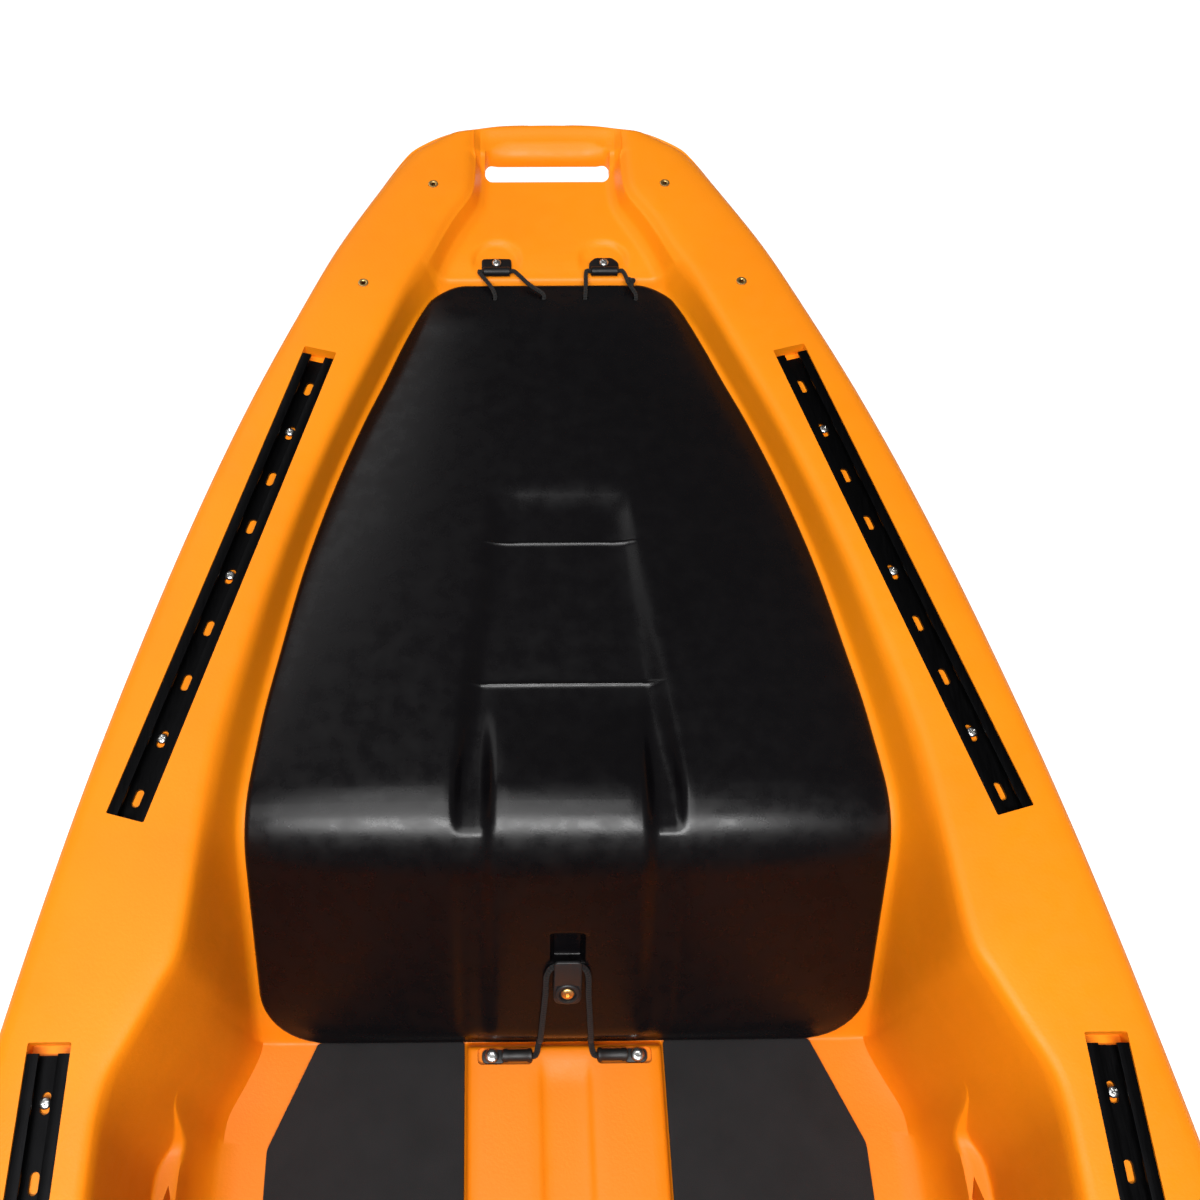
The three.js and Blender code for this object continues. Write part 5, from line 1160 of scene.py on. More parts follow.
# Latch hook: a nylon hook screwed to the lid. Its tab stands off the lid over the bungee, and a
# round boss holds a brass screw.
HOOK_HALF, HOOK_BACK, HOOK_HIGH = 0.0115, 0.015, 0.0080
TAB_REACH, TAB_LOW, TAB_HIGH, BOSS_BACK = 0.031, 0.0066, 0.0098, -0.0025
HOOK_BOSS = ((6.8, 4), (10.5, 4), (10.5, 9.4), (9.8, 10.4), (8.6, 10.8), (7.4, 10.4), (6.8, 9.2))
hook_z = (on_seat(HOOK_AT, 0, 1) - on_seat(HOOK_AT, 0, 0)).normalized()
hook_frame = axes((1, 0, 0), hook_z.cross(Vector((1, 0, 0))), hook_z,
                  on_seat(HOOK_AT, 0, top_lift(HOOK_AT, 0) + REST))
hook_bm = bmesh.new()
half, tab = HOOK_HALF, TAB_REACH
body_line = rounded(corners(half, HOOK_BACK), 0.0075)
put(hook_bm, slab(body_line, 0, HOOK_HIGH, 0.0014, 3), hook_frame)
tab_line = rounded(
    [(-half, 0.006), (half, 0.006), (half - 0.0004, tab), (0.0004 - half, tab)], 0.0040)
put(hook_bm, slab(tab_line, TAB_LOW, TAB_HIGH, 0.0011, 3), hook_frame)
put(hook_bm, turned(thousandths(HOOK_BOSS), 36, True),
    hook_frame @ Matrix.Translation((0, BOSS_BACK, 0)))
grey_nylon = moulded("grey_nylon", (0.016, 0.016, 0.017), (0.011, 0.011, 0.012), 0.42, 800, 0.00008,
                     0.0001, 0.4)
dress(finish_mesh(hook_bm, "hook"), grey_nylon, "bow_hatch", "dark_plastic", "latch_hook")
screw("hook_screw", hook_frame @ Matrix.Translation((0, BOSS_BACK, 0.0083)), "latch_screw", brass,
      "brass", body="bow_hatch", head=0.0056, high=0.0024, long=0.020, drive="hex")

# Latch sleeves: rubber sleeves that grip the bungee's ends, each with a flat tail bolted down in a
# pocket of the spine by a stainless button-head bolt. The bungee is a 5 mm shock cord.
SLEEVE_IN, SLEEVE_OUT, SLEEVE, TAIL, TAIL_THICK = 0.028, 0.054, 0.0058, 0.020, 0.003
SLEEVE_Z, TAIL_Z = SPINE_TOP - TAIL_POCKET + 0.0063, SPINE_TOP - TAIL_POCKET + REST
BOLT_OUT = 0.0625
BUNGEE = 0.0025
BUNGEE_HALF = [
    (44, 963.9, 128.3), (31.1, 963.9, 128.3), (24.9, 963.9, 129.2), (21.8, 974.5, 138.5),
    (21.2, 972.2, 155), (17.9, 996.5, 197.5), (16.6, 1008.4, 216.9), (9.0, 1013.6, 224.0)]
shock_cord = braided("shock_cord", (0.009, 0.009, 0.010), 8, 0.005)
for side_name, side in SIDES:
    sleeve_bm = bmesh.new()
    start = Vector((side * SLEEVE_IN, along(SLEEVE_AFT), SLEEVE_Z))
    run = SLEEVE_OUT - SLEEVE_IN
    profile = [(0.0028, 0.010), (0.0031, 0.0006), (0.0038, 0), (SLEEVE - 0.0008, 0),
               (SLEEVE, 0.0008), (SLEEVE, 0.0030), (SLEEVE - 0.0007, 0.0042),
               (SLEEVE - 0.0007, run - 0.006), (SLEEVE - 0.0002, run - 0.004),
               (SLEEVE - 0.0006, run - 0.001), (0.0036, run)]
    put(sleeve_bm, turned(profile, 32), towards(start, start + Vector((side, 0, 0))))
    tail_middle = side * (SLEEVE_OUT + TAIL / 2 - TAIL_THICK)
    put(sleeve_bm, slab(rounded(corners(TAIL / 2, SLEEVE), 0.005), 0, TAIL_THICK, 0.0007),
        Matrix.Translation((tail_middle, along(SLEEVE_AFT), TAIL_Z)))
    dress(finish_mesh(sleeve_bm, f"sleeve_{side_name}"), rubber, "hull", "black_rubber",
          f"latch_sleeve_{side_name}")
    screw(f"sleeve_bolt_{side_name}",
          Matrix.Translation((side * BOLT_OUT, along(SLEEVE_AFT), TAIL_Z + TAIL_THICK + REST)),
          f"latch_bolt_{side_name}", steel, "steel", head=0.0060, high=0.0040, drive="hex")
bungee_half = thousandths(BUNGEE_HALF)
bungee_bm = strand([(-x, y, z) for x, y, z in bungee_half] + bungee_half[::-1], BUNGEE, 0.002)
bungee = dress(finish_mesh(bungee_bm, "hatch_bungee"), shock_cord, "hull", "black_cord",
               "latch_bungee")
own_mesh(bungee)

# Gear tracks: black anodised aluminium extrusions with two lips over a T-slot, slotted along the
# floor and screwed down through three of the slots.
TRACK_WIDE, TRACK_HIGH, TRACK_WALL, TRACK_LIP = 0.030, 0.012, 0.0024, 0.0084
TRACK_SLOT = (0.0065, 0.015)


def anodised(name, colour):
    """Anodised aluminium: dark, satin, with fine lines along the extrusion."""
    made, tree, surface, place = shader(name, colour, 0.38, metallic=0.85, specular=0.2)
    stretched = add(tree, "Mapping", Scale=(900, 14, 900), Vector=place).outputs[0]
    lines = grain(tree, stretched, 1.0, 2.0)
    tree.links.new(between(tree, lines, 0.31, 0.48), surface.inputs["Roughness"])
    tint = between(tree, grain(tree, place, 30), [c * 0.75 for c in colour], colour)
    tree.links.new(tint, surface.inputs["Base Color"])
    raise_by(tree, surface, lines, 0.00002)
    return made


black_metal = anodised("black_anodised", (0.006, 0.006, 0.0066))
for side_name, side in SIDES:
    for where, place, out, turn, screws in TRACK_SETS:
        track_frame = gunwale_frame(side * out, place, side * turn, TRACK_DROP)
        half, top, wall, neck = TRACK_WIDE / 2, TRACK_HIGH, TRACK_WALL, TRACK_WIDE / 2 - TRACK_LIP
        inner = half - wall
        outline = [(-half, 0), (half, 0), (half, top), (neck, top), (neck, top - wall),
                   (inner, top - wall), (inner, wall), (-inner, wall), (-inner, top - wall),
                   (-neck, top - wall), (-neck, top), (-half, top)]
        upright_frame = track_frame @ Matrix.Rotation(math.pi / 2, 4, "X")
        track_bm = placed(slab(rounded(outline, 0.0004, 2), 0, TRACK_LENGTH), upright_frame)
        track = finish_mesh(track_bm, f"track_{where}_{side_name}")
        tool = bmesh.new()
        for index in range(9):
            spot = track_frame @ Matrix.Translation((0, -TRACK_FIRST - index * SLOT_PITCH, 0))
            rounded_block(tool, *TRACK_SLOT, TRACK_SLOT[0] * 0.499, -0.002, 0.0045, spot, 6)
        cut_away(track, [tool])
        dress(track, black_metal, "hull", "black_aluminium", f"gear_track_{where}_{side_name}")
        for number, index in enumerate(screws):
            run = -TRACK_FIRST - index * SLOT_PITCH
            spot = track_frame @ Matrix.Translation((0, run, TRACK_WALL + REST))
            screw(f"track_fixing_{where}_{side_name}_{number + 1}",
                  spot @ Matrix.Rotation(0.7 * number, 4, "Z"),
                  f"track_screw_{where}_{side_name}_{number + 1}", steel, "steel", head=0.0042)

# Brass inserts: knurled, threaded bushes moulded into the gunwales for accessories, two a side.
# Each stands flush with the plastic, open for a bolt.
BUSH = ((2.2, -6), (2.2, 0.3), (2.8, 0.8), (4.0, 0.9), (4.7, 0.6), (4.9, 0.2), (4.9, -14),
        (2.2, -14))
for side_name, side in SIDES:
    for row, place, out in INSERTS:
        bush = placed(turned(thousandths(BUSH), 32, True), gunwale_frame(side * out, place))
        dress(finish_mesh(bush, f"insert_{row}_{side_name}"), brass, "hull", "brass",
              f"brass_insert_{row}_{side_name}")

# Deck pads: 5 mm sheets of closed-cell EVA foam, cut to shape and glued either side of the spine.
# They run from the hatch's foot back to the step under the seat.
PAD_THICK, PAD_PLACES, PAD_OUTS, PAD_IN = 0.005, (0.2328, 0.2563, 0.44), (0.44, 0.518), 0.086
foam, foam_tree, foam_surface, foam_place = shader(
    "eva_foam", (0.011, 0.0107, 0.0115), 0.88, specular=0.35, sheen=0.03)
cells = grain(foam_tree, foam_place, 1300, 3.0)
patches = between(foam_tree, grain(foam_tree, foam_place, 26, 5.0), (0.0085, 0.0083, 0.0090),
                  (0.0125, 0.0120, 0.0130))
foam_tree.links.new(patches, foam_surface.inputs["Base Color"])
raise_by(foam_tree, foam_surface, cells, 0.0003)
for side_name, side in SIDES:
    front, knee, back = [along(share * HULL_LENGTH) for share in PAD_PLACES]
    out_front, out_knee = [share * HALF_BEAM for share in PAD_OUTS]
    outline = rounded([(side * PAD_IN, front), (side * out_front, front), (side * out_knee, knee),
                       (side * out_knee, back), (side * PAD_IN, back)], 0.004, 6)
    pad_bm = slab(outline, FLOOR + REST, FLOOR + REST + PAD_THICK, 0.0014, 3)
    pad = dress(finish_mesh(pad_bm, f"pad_{side_name}"), foam, "hull", "foam",
                f"deck_pad_{side_name}")

# Seat base frame: black anodised aluminium tube, welded: two rails on four legs with two cross
# tubes. Flat ears carry the back's pivots, and small lugs behind them stop the back.
RAIL_OUT, RAIL_HEIGHT, RAIL, RAIL_ENDS = 0.225, 0.285, 0.011, (-0.28869, 0.13131)
LEG, LEG_PLACES, LEG_FOOT, CROSS_HEIGHT = 0.010, (0.10131, -0.23369), 0.1755, 0.247
PIVOT_Y, PIVOT_Z, EAR_THICK, EAR_LONG, BOLT_HOLE = -0.26369, 0.330, 0.006, 0.034, 0.0033
LUG_Y, LUG_HIGH, BACK_OUT = -0.2824, 0.016, 0.2114
TUBE_BEAD = 0.0013
LAID_ALONG = axes((0, 1, 0), (0, 0, 1), (1, 0, 0), (0, 0, 0))
LAID_ACROSS = axes((1, 0, 0), (0, 0, 1), (0, -1, 0), (0, 0, 0))


def tube(bm, start, end, radius):
    """A tube with a rounded plug in each end that shows."""
    long = (Vector(end) - Vector(start)).length
    soft = radius * 0.3
    low = [(radius * 0.55, 0), (radius * 0.86, 0.25 * soft), (radius * 0.97, soft)]
    high = [(r, long - z) for r, z in low[::-1]]
    profile = low + [(radius, soft * 2), (radius, long - 2 * soft)] + high
    put(bm, turned(profile, 36), towards(start, end))


def bead(bm, axis, over, place, radius, other):
    """A weld bead where a tube meets the side of another that runs along `over`."""
    axis, over = Vector(axis), Vector(over)
    beside = over.cross(axis)
    run = []
    for k in range(33):
        turn = 2 * math.pi * k / 32
        off = beside * radius * math.cos(turn) + over * radius * math.sin(turn)
        reach = math.sqrt(max(other ** 2 - (radius * math.cos(turn)) ** 2, 0))
        run.append(Vector(place) + off + axis * reach)
    put(bm, strand(run, TUBE_BEAD, 0.002, 8))


black_tube = anodised("black_tube", (0.014, 0.014, 0.015))
base_bm = bmesh.new()
for side_name, side in SIDES:
    rail = side * RAIL_OUT
    tube(base_bm, (rail, RAIL_ENDS[0], RAIL_HEIGHT), (rail, RAIL_ENDS[1], RAIL_HEIGHT), RAIL)
    for y in LEG_PLACES:
        tube(base_bm, (rail, y, LEG_FOOT), (rail, y, RAIL_HEIGHT), LEG)
        bead(base_bm, (0, 0, -1), (0, 1, 0), (rail, y, RAIL_HEIGHT), LEG, RAIL)
        bead(base_bm, (-side, 0, 0), (0, 0, 1), (rail, y, CROSS_HEIGHT), LEG * 0.98, LEG)
    half = EAR_LONG / 2
    ear_top = PIVOT_Z + half
    ear = [(half * math.cos(t), PIVOT_Z + half * math.sin(t)) for t in arc(0, 12, 16)]
    ear += [(-half, RAIL_HEIGHT), (half, RAIL_HEIGHT)]
    put(base_bm, slab(ear, -EAR_THICK / 2, EAR_THICK / 2, 0.0008),
        Matrix.Translation((rail, PIVOT_Y, 0)) @ LAID_ALONG)
    lug_half, middle = (RAIL_OUT - BACK_OUT + EAR_THICK) / 2, side * (BACK_OUT + RAIL_OUT) / 2
    lug = [(middle - lug_half, ear_top - LUG_HIGH), (middle + lug_half, ear_top - LUG_HIGH),
           (middle + lug_half, ear_top), (middle - lug_half, ear_top)]
    put(base_bm, slab(rounded(lug, 0.002, 3), -EAR_THICK / 2, EAR_THICK / 2, 0.0006),
        Matrix.Translation((0, LUG_Y, 0)) @ LAID_ACROSS)
for y in LEG_PLACES:
    tube(base_bm, (-RAIL_OUT, y, CROSS_HEIGHT), (RAIL_OUT, y, CROSS_HEIGHT), LEG * 0.98)
base_frame = finish_mesh(base_bm, "seat_rails")


def bolt_holes():
    tool = bmesh.new()
    for side_name, side in SIDES:
        round_bar(tool, (side * 0.19, PIVOT_Y, PIVOT_Z), (side * 0.24, PIVOT_Y, PIVOT_Z), BOLT_HOLE)
    return [tool]


cut_away(base_frame, bolt_holes(), True, 34)
dress(base_frame, black_tube, "hull", "black_aluminium", "seat_base_frame")

# Seat back frame: the same tube bent into a hoop, with a thinner brace across its foot. It turns
# on two stainless bolts with nuts, one through each ear.
BACK_TILT, BACK_FOOT, BACK_HEIGHT, BACK_CORNER = math.radians(12), -0.010, 0.430, 0.040
BACK_TUBE, BRACE, BRACE_UP = 0.010, 0.008, 0.030


def on_back(x, up, ahead=0.0):
    """A place in the seat back's plane, so far up from the pivots and in front of the tubes."""
    aft, rise = math.sin(BACK_TILT), math.cos(BACK_TILT)
    return Vector((x, PIVOT_Y - up * aft + ahead * rise, PIVOT_Z + up * rise + ahead * aft))


hoop = [on_back(-BACK_OUT, up) for up in (BACK_FOOT, 0.05, 0.15, 0.25, 0.34, 0.38)]
for t in arc(10, 10, 8):
    hoop.append(on_back(-BACK_OUT + BACK_CORNER * (1 - math.cos(t)),
                        BACK_HEIGHT - BACK_CORNER * (1 - math.sin(t))))
hoop += [on_back(x, BACK_HEIGHT) for x in (-0.165, -0.1, 0)]
hoop += [Vector((-p.x, p.y, p.z)) for p in hoop[-2::-1]]
back_bm = bmesh.new()
put(back_bm, strand(hoop, BACK_TUBE, 0.006, 36))
tube(back_bm, on_back(-BACK_OUT, BRACE_UP), on_back(BACK_OUT, BRACE_UP), BRACE)
for side_name, side in SIDES:
    bead(back_bm, (-side, 0, 0), on_back(0, 1) - on_back(0, 0),
         on_back(side * BACK_OUT, BRACE_UP), BRACE, BACK_TUBE)
    cap = BACK_TUBE * 1.01
    put(back_bm, turned([(0.0086, -0.0012), (cap, 0.0006), (cap, 0.004), (0.0086, 0.0044)], 36),
        towards(on_back(side * BACK_OUT, BACK_FOOT + 0.001), on_back(side * BACK_OUT, 0)))
back_frame = finish_mesh(back_bm, "seat_hoop")
cut_away(back_frame, bolt_holes(), True, 34)
dress(back_frame, black_tube, "seat_back", "black_aluminium", "seat_back_frame")

BOLT_IN, BOLT_OUTER, PIVOT_HEAD = BACK_OUT - BACK_TUBE, RAIL_OUT + EAR_THICK / 2, 0.0064
for side_name, side in SIDES:
    bolt_bm = bmesh.new()
    frame_in = towards((side * BOLT_IN, PIVOT_Y, PIVOT_Z), (side * BOLT_OUTER, PIVOT_Y, PIVOT_Z))
    reach = BOLT_OUTER - BOLT_IN
    head = PIVOT_HEAD
    put(bolt_bm, turned([
        (head * 0.3, -0.0058), (head * 0.75, -0.0050), (head * 0.96, -0.0032), (head, -0.0012),
        (head * 0.97, -0.0004), (0.0029, -0.0003), (0.0029, reach + 0.0052),
        (0.0022, reach + 0.0059)], 32), frame_in)
    put(bolt_bm, turned([
        (head * 0.9, reach + 0.0003), (head, reach + 0.0008), (head, reach + 0.0042),
        (head * 0.86, reach + 0.0050)], 6), frame_in)
    pivot_bolt = finish_mesh(bolt_bm, f"pivot_bolt_{side_name}", 30)
    socket = turned([(head * 0.4, -0.02), (head * 0.4, -0.0035)], 6)
    cut_away(pivot_bolt, [placed(socket, frame_in)], True, 30)
    dress(pivot_bolt, steel, "hull", "steel", f"seat_pivot_bolt_{side_name}")

# Seat slings: open polyester mesh stretched over the tubes and round them, sewn down inside, with
# a bound hem at each end. They sag a little between the tubes.
SLING_THICK, SLING_SAG, SLING_WRAP, SLING_GAP = 0.0014, 0.018, math.radians(215), 0.0004
BASE_SLING, BACK_SLING = (-0.2297, 0.1163), (0.050, 0.390)
HEM, HEM_THICK = 0.014, 0.0007
YARN_PITCH = 0.0021


def mesh_weave(name, colour):
    """Open sling mesh: two sets of coated yarn that cross, each hole darker than the yarns."""
    made, tree, surface, place = shader(name, colour, 0.72, specular=0.35, sheen=0.06)
    spread = tree.nodes.new("ShaderNodeUVMap")
    spread.uv_map = "cloth"
    parts = add(tree, "SeparateXYZ", Vector=spread.outputs["UV"])

    yarns = []
    for k in (0, 1):
        turns = reckon(tree, "MULTIPLY", parts.outputs[k], math.pi / YARN_PITCH)
        yarns.append(reckon(tree, "ABSOLUTE", reckon(tree, "SINE", turns)))
    both = reckon(tree, "ADD", parts.outputs[0], parts.outputs[1])
    crossing = reckon(tree, "SINE", reckon(tree, "MULTIPLY", both, math.pi / (2 * YARN_PITCH)))
    rise = reckon(tree, "ADD", 0.85, reckon(tree, "MULTIPLY", crossing, 0.15))
    weave = reckon(tree, "MAXIMUM", reckon(tree, "MULTIPLY", yarns[0], rise), yarns[1])
    tint = between(tree, weave, [c * 0.25 for c in colour], [c * 1.5 for c in colour], 0.45, 0.95)
    fade = between(tree, grain(tree, place, 7), 0.82, 1.0)
    tree.links.new(multiplied(tree, tint, fade), surface.inputs["Base Color"])
    raise_by(tree, surface, weave, 0.0005)
    return made


def sling(name, tube_out, radius, run, place, body, node):
    """A sling over two tubes: across from its seam round one tube to its seam round the other."""
    across = []
    wrap_radius = radius + SLING_GAP + SLING_THICK / 2
    inner = tube_out - radius * 0.25
    for k in range(15):
        turn = SLING_WRAP * (1 - k / 14)
        across.append((-tube_out - wrap_radius * math.sin(turn), wrap_radius * math.cos(turn)))
    for k in range(1, 40):
        x = mix(-tube_out, tube_out, k / 40)
        ratio = min(abs(x) / inner, 1)
        sag = SLING_SAG * (1 - ratio * ratio) * (1 - 0.12 * ratio ** 6)
        across.append((x, wrap_radius - sag))
    across += [(-x, z) for x, z in across[14::-1]]
    marks = [0.0]
    for (x_0, z_0), (x_1, z_1) in zip(across, across[1:]):
        marks.append(marks[-1] + math.hypot(x_1 - x_0, z_1 - z_0))
    middle_mark = marks[-1] / 2
    ways = [mix(run[0], run[1], k / 60) for k in range(61)]
    bm = bmesh.new()
    cloth = bm.loops.layers.uv.new("cloth")
    grid = bmesh.ops.create_grid(
        bm, x_segments=len(across) - 1, y_segments=len(ways) - 1, size=1)["verts"]
    spots = {}
    for number, vert in enumerate(grid):
        column, row = number % len(across), number // len(across)
        x, lift = across[column]
        vert.co = place(x, ways[row], lift)
        spots[vert] = (marks[column] - middle_mark, ways[row])
    for face in bm.faces:
        for loop in face.loops:
            loop[cloth].uv = spots[loop.vert]
    faces_up = place(0, ways[0], 1) - place(0, ways[0], 0)
    bm.faces.ensure_lookup_table()
    centre_face = bm.faces[len(bm.faces) // 2 + len(across) // 2]
    centre_face.normal_update()
    if centre_face.normal.dot(faces_up) < 0:
        bmesh.ops.reverse_faces(bm, faces=bm.faces)
    made = as_object(bm, name)
    thick = made.modifiers.new("cloth", "SOLIDIFY")
    thick.thickness, thick.offset = SLING_THICK, 0
    settle(made, 60)
    dress(made, sling_mesh, body, "mesh_cloth", node)
    hem_bm = bmesh.new()
    grow = SLING_THICK * 0.5 + HEM_THICK
    for at, inward in ((ways[0], 1), (ways[-1], -1)):
        section = ((-0.0008, -grow * 0.6), (HEM, -grow * 0.6), (HEM + 0.0006, 0), (HEM, grow),
                   (-0.0008, grow), (-0.0016, 0))
        rings = [[place(x, at + inward * off, lift + rise) for off, rise in section]
                 for x, lift in across[1:-1]]
        cap_ends(hem_bm, loft(hem_bm, rings))
    hem = dress(finish_mesh(hem_bm, name + "_hems", 60), webbing, body, "mesh_cloth")
    return made, hem, marks[-1]


sling_mesh = mesh_weave("sling_mesh", (0.026, 0.028, 0.030))
webbing, web_tree, web_surface, web_place = shader(
    "hem_binding", (0.020, 0.020, 0.022), 0.75, sheen=0.05)
ribs = add(web_tree, "TexWave", Scale=260, Distortion=0.6, Vector=web_place)
ribs.bands_direction = "X"
rib_tint = between(web_tree, ribs.outputs["Fac"], (0.013, 0.013, 0.014), (0.028, 0.028, 0.030))
web_tree.links.new(rib_tint, web_surface.inputs["Base Color"])
raise_by(web_tree, web_surface, ribs.outputs["Fac"], 0.0004)


def on_rails(x, y, lift):
    return Vector((x, y, RAIL_HEIGHT + lift))


base_sling, base_hem, base_width = sling(
    "base_sling", RAIL_OUT, RAIL, BASE_SLING, on_rails, "hull", "seat_base_sling")
back_sling, back_hem, back_width = sling(
    "back_sling", BACK_OUT, BACK_TUBE, BACK_SLING, on_back, "seat_back", "seat_back_sling")

# Rod holders: black injection-moulded tubes with a round flange, set into the gunwales behind the
# seat, leaning aft. The bore is closed at its foot.
HOLDER, HOLDER_BORE, HOLDER_LONG, FLANGE, FLANGE_THICK = 0.024, 0.0205, 0.210, 0.038, 0.005
for side_name, side in SIDES:
    holder_frame = Matrix.Translation((side * HOLDER_OUT, along(HOLDER_AFT), gunwale(HOLDER_AFT)))
    tube_frame = holder_frame @ towards((0, 0, 0), HOLDER_LEAN)
    holder_bm = bmesh.new()
    put(holder_bm, turned([
        (FLANGE * 0.5, 0.0006), (FLANGE - 0.0008, 0.0006), (FLANGE, 0.0014),
        (FLANGE - 0.0004, 0.0030), (FLANGE - 0.0018, 0.0043), (FLANGE - 0.0045, FLANGE_THICK),
        (FLANGE * 0.5, FLANGE_THICK)], 72), holder_frame)
    put(holder_bm, turned([
        (HOLDER, -0.048), (HOLDER, HOLDER_LONG - 0.004), (HOLDER - 0.0012, HOLDER_LONG - 0.001),
        (HOLDER - 0.004, HOLDER_LONG)], 56), tube_frame)
    holder = finish_mesh(holder_bm, f"holder_{side_name}")
    over = turned([(0.09, FLANGE_THICK - 0.00001), (0.09, 0.2)], 8)
    cut_away(holder, [placed(over, holder_frame)], True)
    bore = turned([(HOLDER_BORE + out, up) for out, up in (
        (0.006, -0.06), (0.0052, -0.0065), (0.0022, -0.0005), (0.0006, 0.004), (0, 0.009),
        (0, HOLDER_LONG - 0.006), (-0.002, HOLDER_LONG - 0.004))], 56)
    cut_away(holder, [placed(bore, tube_frame)], True)
    dress(holder, nylon, "hull", "dark_plastic", f"rod_holder_{side_name}")

# Side carry handles: a moulded base on each side of the hull, and a rubber grip on a bail that
# swings out and up on its two pins.
CARRY_AFT, CARRY_LONG, CARRY_HIGH, CARRY_PLATE = 0.5 * HULL_LENGTH, 0.190, 0.026, 0.004
CARRY_EAR_AT, CARRY_EAR, CARRY_PIN_OUT, CARRY_PIN = 0.082, 0.008, 0.012, 0.0032
CARRY_ARM_AT, CARRY_ARM, CARRY_BAR, CARRY_GRIP, CARRY_GRIP_LONG = 0.0724, 0.070, 0.005, 0.011, 0.110
PLATE_GAP, BAIL_CORNER = 0.0003, 0.010
BAIL_EYE = ((4, 0), (5.8, 0.6), (6.2, 2.2), (6.2, 7.8), (5.8, 9.4), (4, 10))
LAID_FLAT = axes((1, 0, 0), (0, 0, -1), (0, 1, 0), (0, 0, 0))
carry_height = gunwale(CARRY_AFT) - 0.036
plate_out = half_breadth(CARRY_AFT) + PLATE_GAP
for side_name, side in SIDES:
    carry_frame = axes((side, 0, 0), (0, 1, 0), (0, 0, 1),
                       (side * plate_out, along(CARRY_AFT), carry_height))
    carry_bm = bmesh.new()
    high = CARRY_HIGH / 2
    put(carry_bm, slab(rounded(corners(CARRY_LONG / 2, high), 0.006), 0, CARRY_PLATE, 0.0012, 3),
        carry_frame @ LAID_ALONG)
    nose = high * 0.78
    centre = CARRY_PIN_OUT + 2 * CARRY_PIN - nose
    ear = [(0.001, -high)]
    ear += [(centre + nose * math.cos(t), high * math.sin(t) * 0.98) for t in arc(-90, 15, 13)]
    ear += [(0.001, high)]
    for end in (-1, 1):
        at = end * CARRY_EAR_AT
        put(carry_bm, slab(ear, at - CARRY_EAR / 2, at + CARRY_EAR / 2, 0.0009),
            carry_frame @ LAID_FLAT)
    base = finish_mesh(carry_bm, f"handle_base_{side_name}")
    tool = bmesh.new()
    hole_out = side * (plate_out + CARRY_PIN_OUT)
    round_bar(tool, (hole_out, along(CARRY_AFT) - 0.1, carry_height),
              (hole_out, along(CARRY_AFT) + 0.1, carry_height), CARRY_PIN + 0.0003)
    cut_away(base, [tool], True)
    dress(base, nylon, "hull", "dark_plastic", f"carry_handle_base_{side_name}")
    arm, low, corner = CARRY_ARM_AT, -CARRY_ARM, BAIL_CORNER
    bail = [(arm, 0.003), (arm, -0.02), (arm, -0.045), (arm, corner + low)]
    bail += [(arm - corner * (1 - math.cos(t)), corner + low - corner * math.sin(t))
             for t in arc(15, 15, 6)]
    bail += [(0.05, low), (0.025, low), (0, low)]
    bail = [(CARRY_PIN_OUT, y, z) for y, z in bail]
    bail += [(x, -y, z) for x, y, z in bail[-2::-1]]

    def on_bail(y, z=0.0):
        return carry_frame @ Vector((CARRY_PIN_OUT, y, z))

    bail_bm = bmesh.new()
    put(bail_bm, strand([carry_frame @ Vector(p) for p in bail], CARRY_BAR, 0.003, 24))
    for end in (-1, 1):
        tube(bail_bm, on_bail(end * (arm - 0.002)), on_bail(end * 0.090), CARRY_PIN)
        put(bail_bm, turned(thousandths(BAIL_EYE), 32),
            towards(on_bail(end * (arm - CARRY_BAR)), on_bail(end * (arm + CARRY_BAR))))
    half, thick = CARRY_GRIP_LONG / 2, CARRY_GRIP
    profile = [(CARRY_BAR, 0), (thick * 0.72, 0.0004), (thick * 0.93, 0.0020), (thick, 0.0048),
               (thick, 0.010)]
    for k in range(1, 9):
        at = mix(0.010, CARRY_GRIP_LONG - 0.010, k / 9)
        profile += [(thick, at - 0.0026), (thick - 0.0009, at - 0.0014),
                    (thick - 0.0009, at + 0.0014), (thick, at + 0.0026)]
    profile += [(r, CARRY_GRIP_LONG - z) for r, z in profile[4::-1]]
    put(bail_bm, turned(profile, 40), towards(on_bail(-half, low), on_bail(half, low)))
    dress(finish_mesh(bail_bm, f"handle_{side_name}", 40), rubber, f"carry_handle_{side_name}",
          "black_rubber", f"carry_handle_{side_name}")

# Pad eyes and tank bungees: moulded eyes fixed along the tank well's edges, and two 6 mm shock
# cords laced through them across the well, each knotted behind its last eye.
EYE_PLACES, EYE_OUT, EYE_HALF, EYE_FOOT = (0.67, 0.75, 0.83), 0.022, 0.015, 0.003
EYE_HIGH, EYE_THICK, EYE_HOLE, EYE_HOLE_UP = 0.019, 0.009, 0.0055, 0.0085
eye_curve = [(EYE_HALF, EYE_FOOT), (0.0075, EYE_FOOT), (0.010, EYE_HIGH), (0, EYE_HIGH)]
eye_outline = [(-EYE_HALF, 0), (EYE_HALF, 0), (EYE_HALF, EYE_FOOT)]
for k in range(1, 13):
    t = k / 12
    weights = [(1 - t) ** 3, 3 * t * (1 - t) ** 2, 3 * t * t * (1 - t), t ** 3]
    eye_outline.append(tuple(sum(w * p[axis] for w, p in zip(weights, eye_curve))
                             for axis in (0, 1)))
eye_outline += [(-x, z) for x, z in eye_outline[-2:2:-1]] + [(-EYE_HALF, EYE_FOOT)]
eye_bore = [(EYE_HOLE + 0.004, 0.0075), (EYE_HOLE + 0.0008, 0.0042), (EYE_HOLE, 0.0030)]
eye_bore = [(r, -z) for r, z in eye_bore] + eye_bore[::-1]
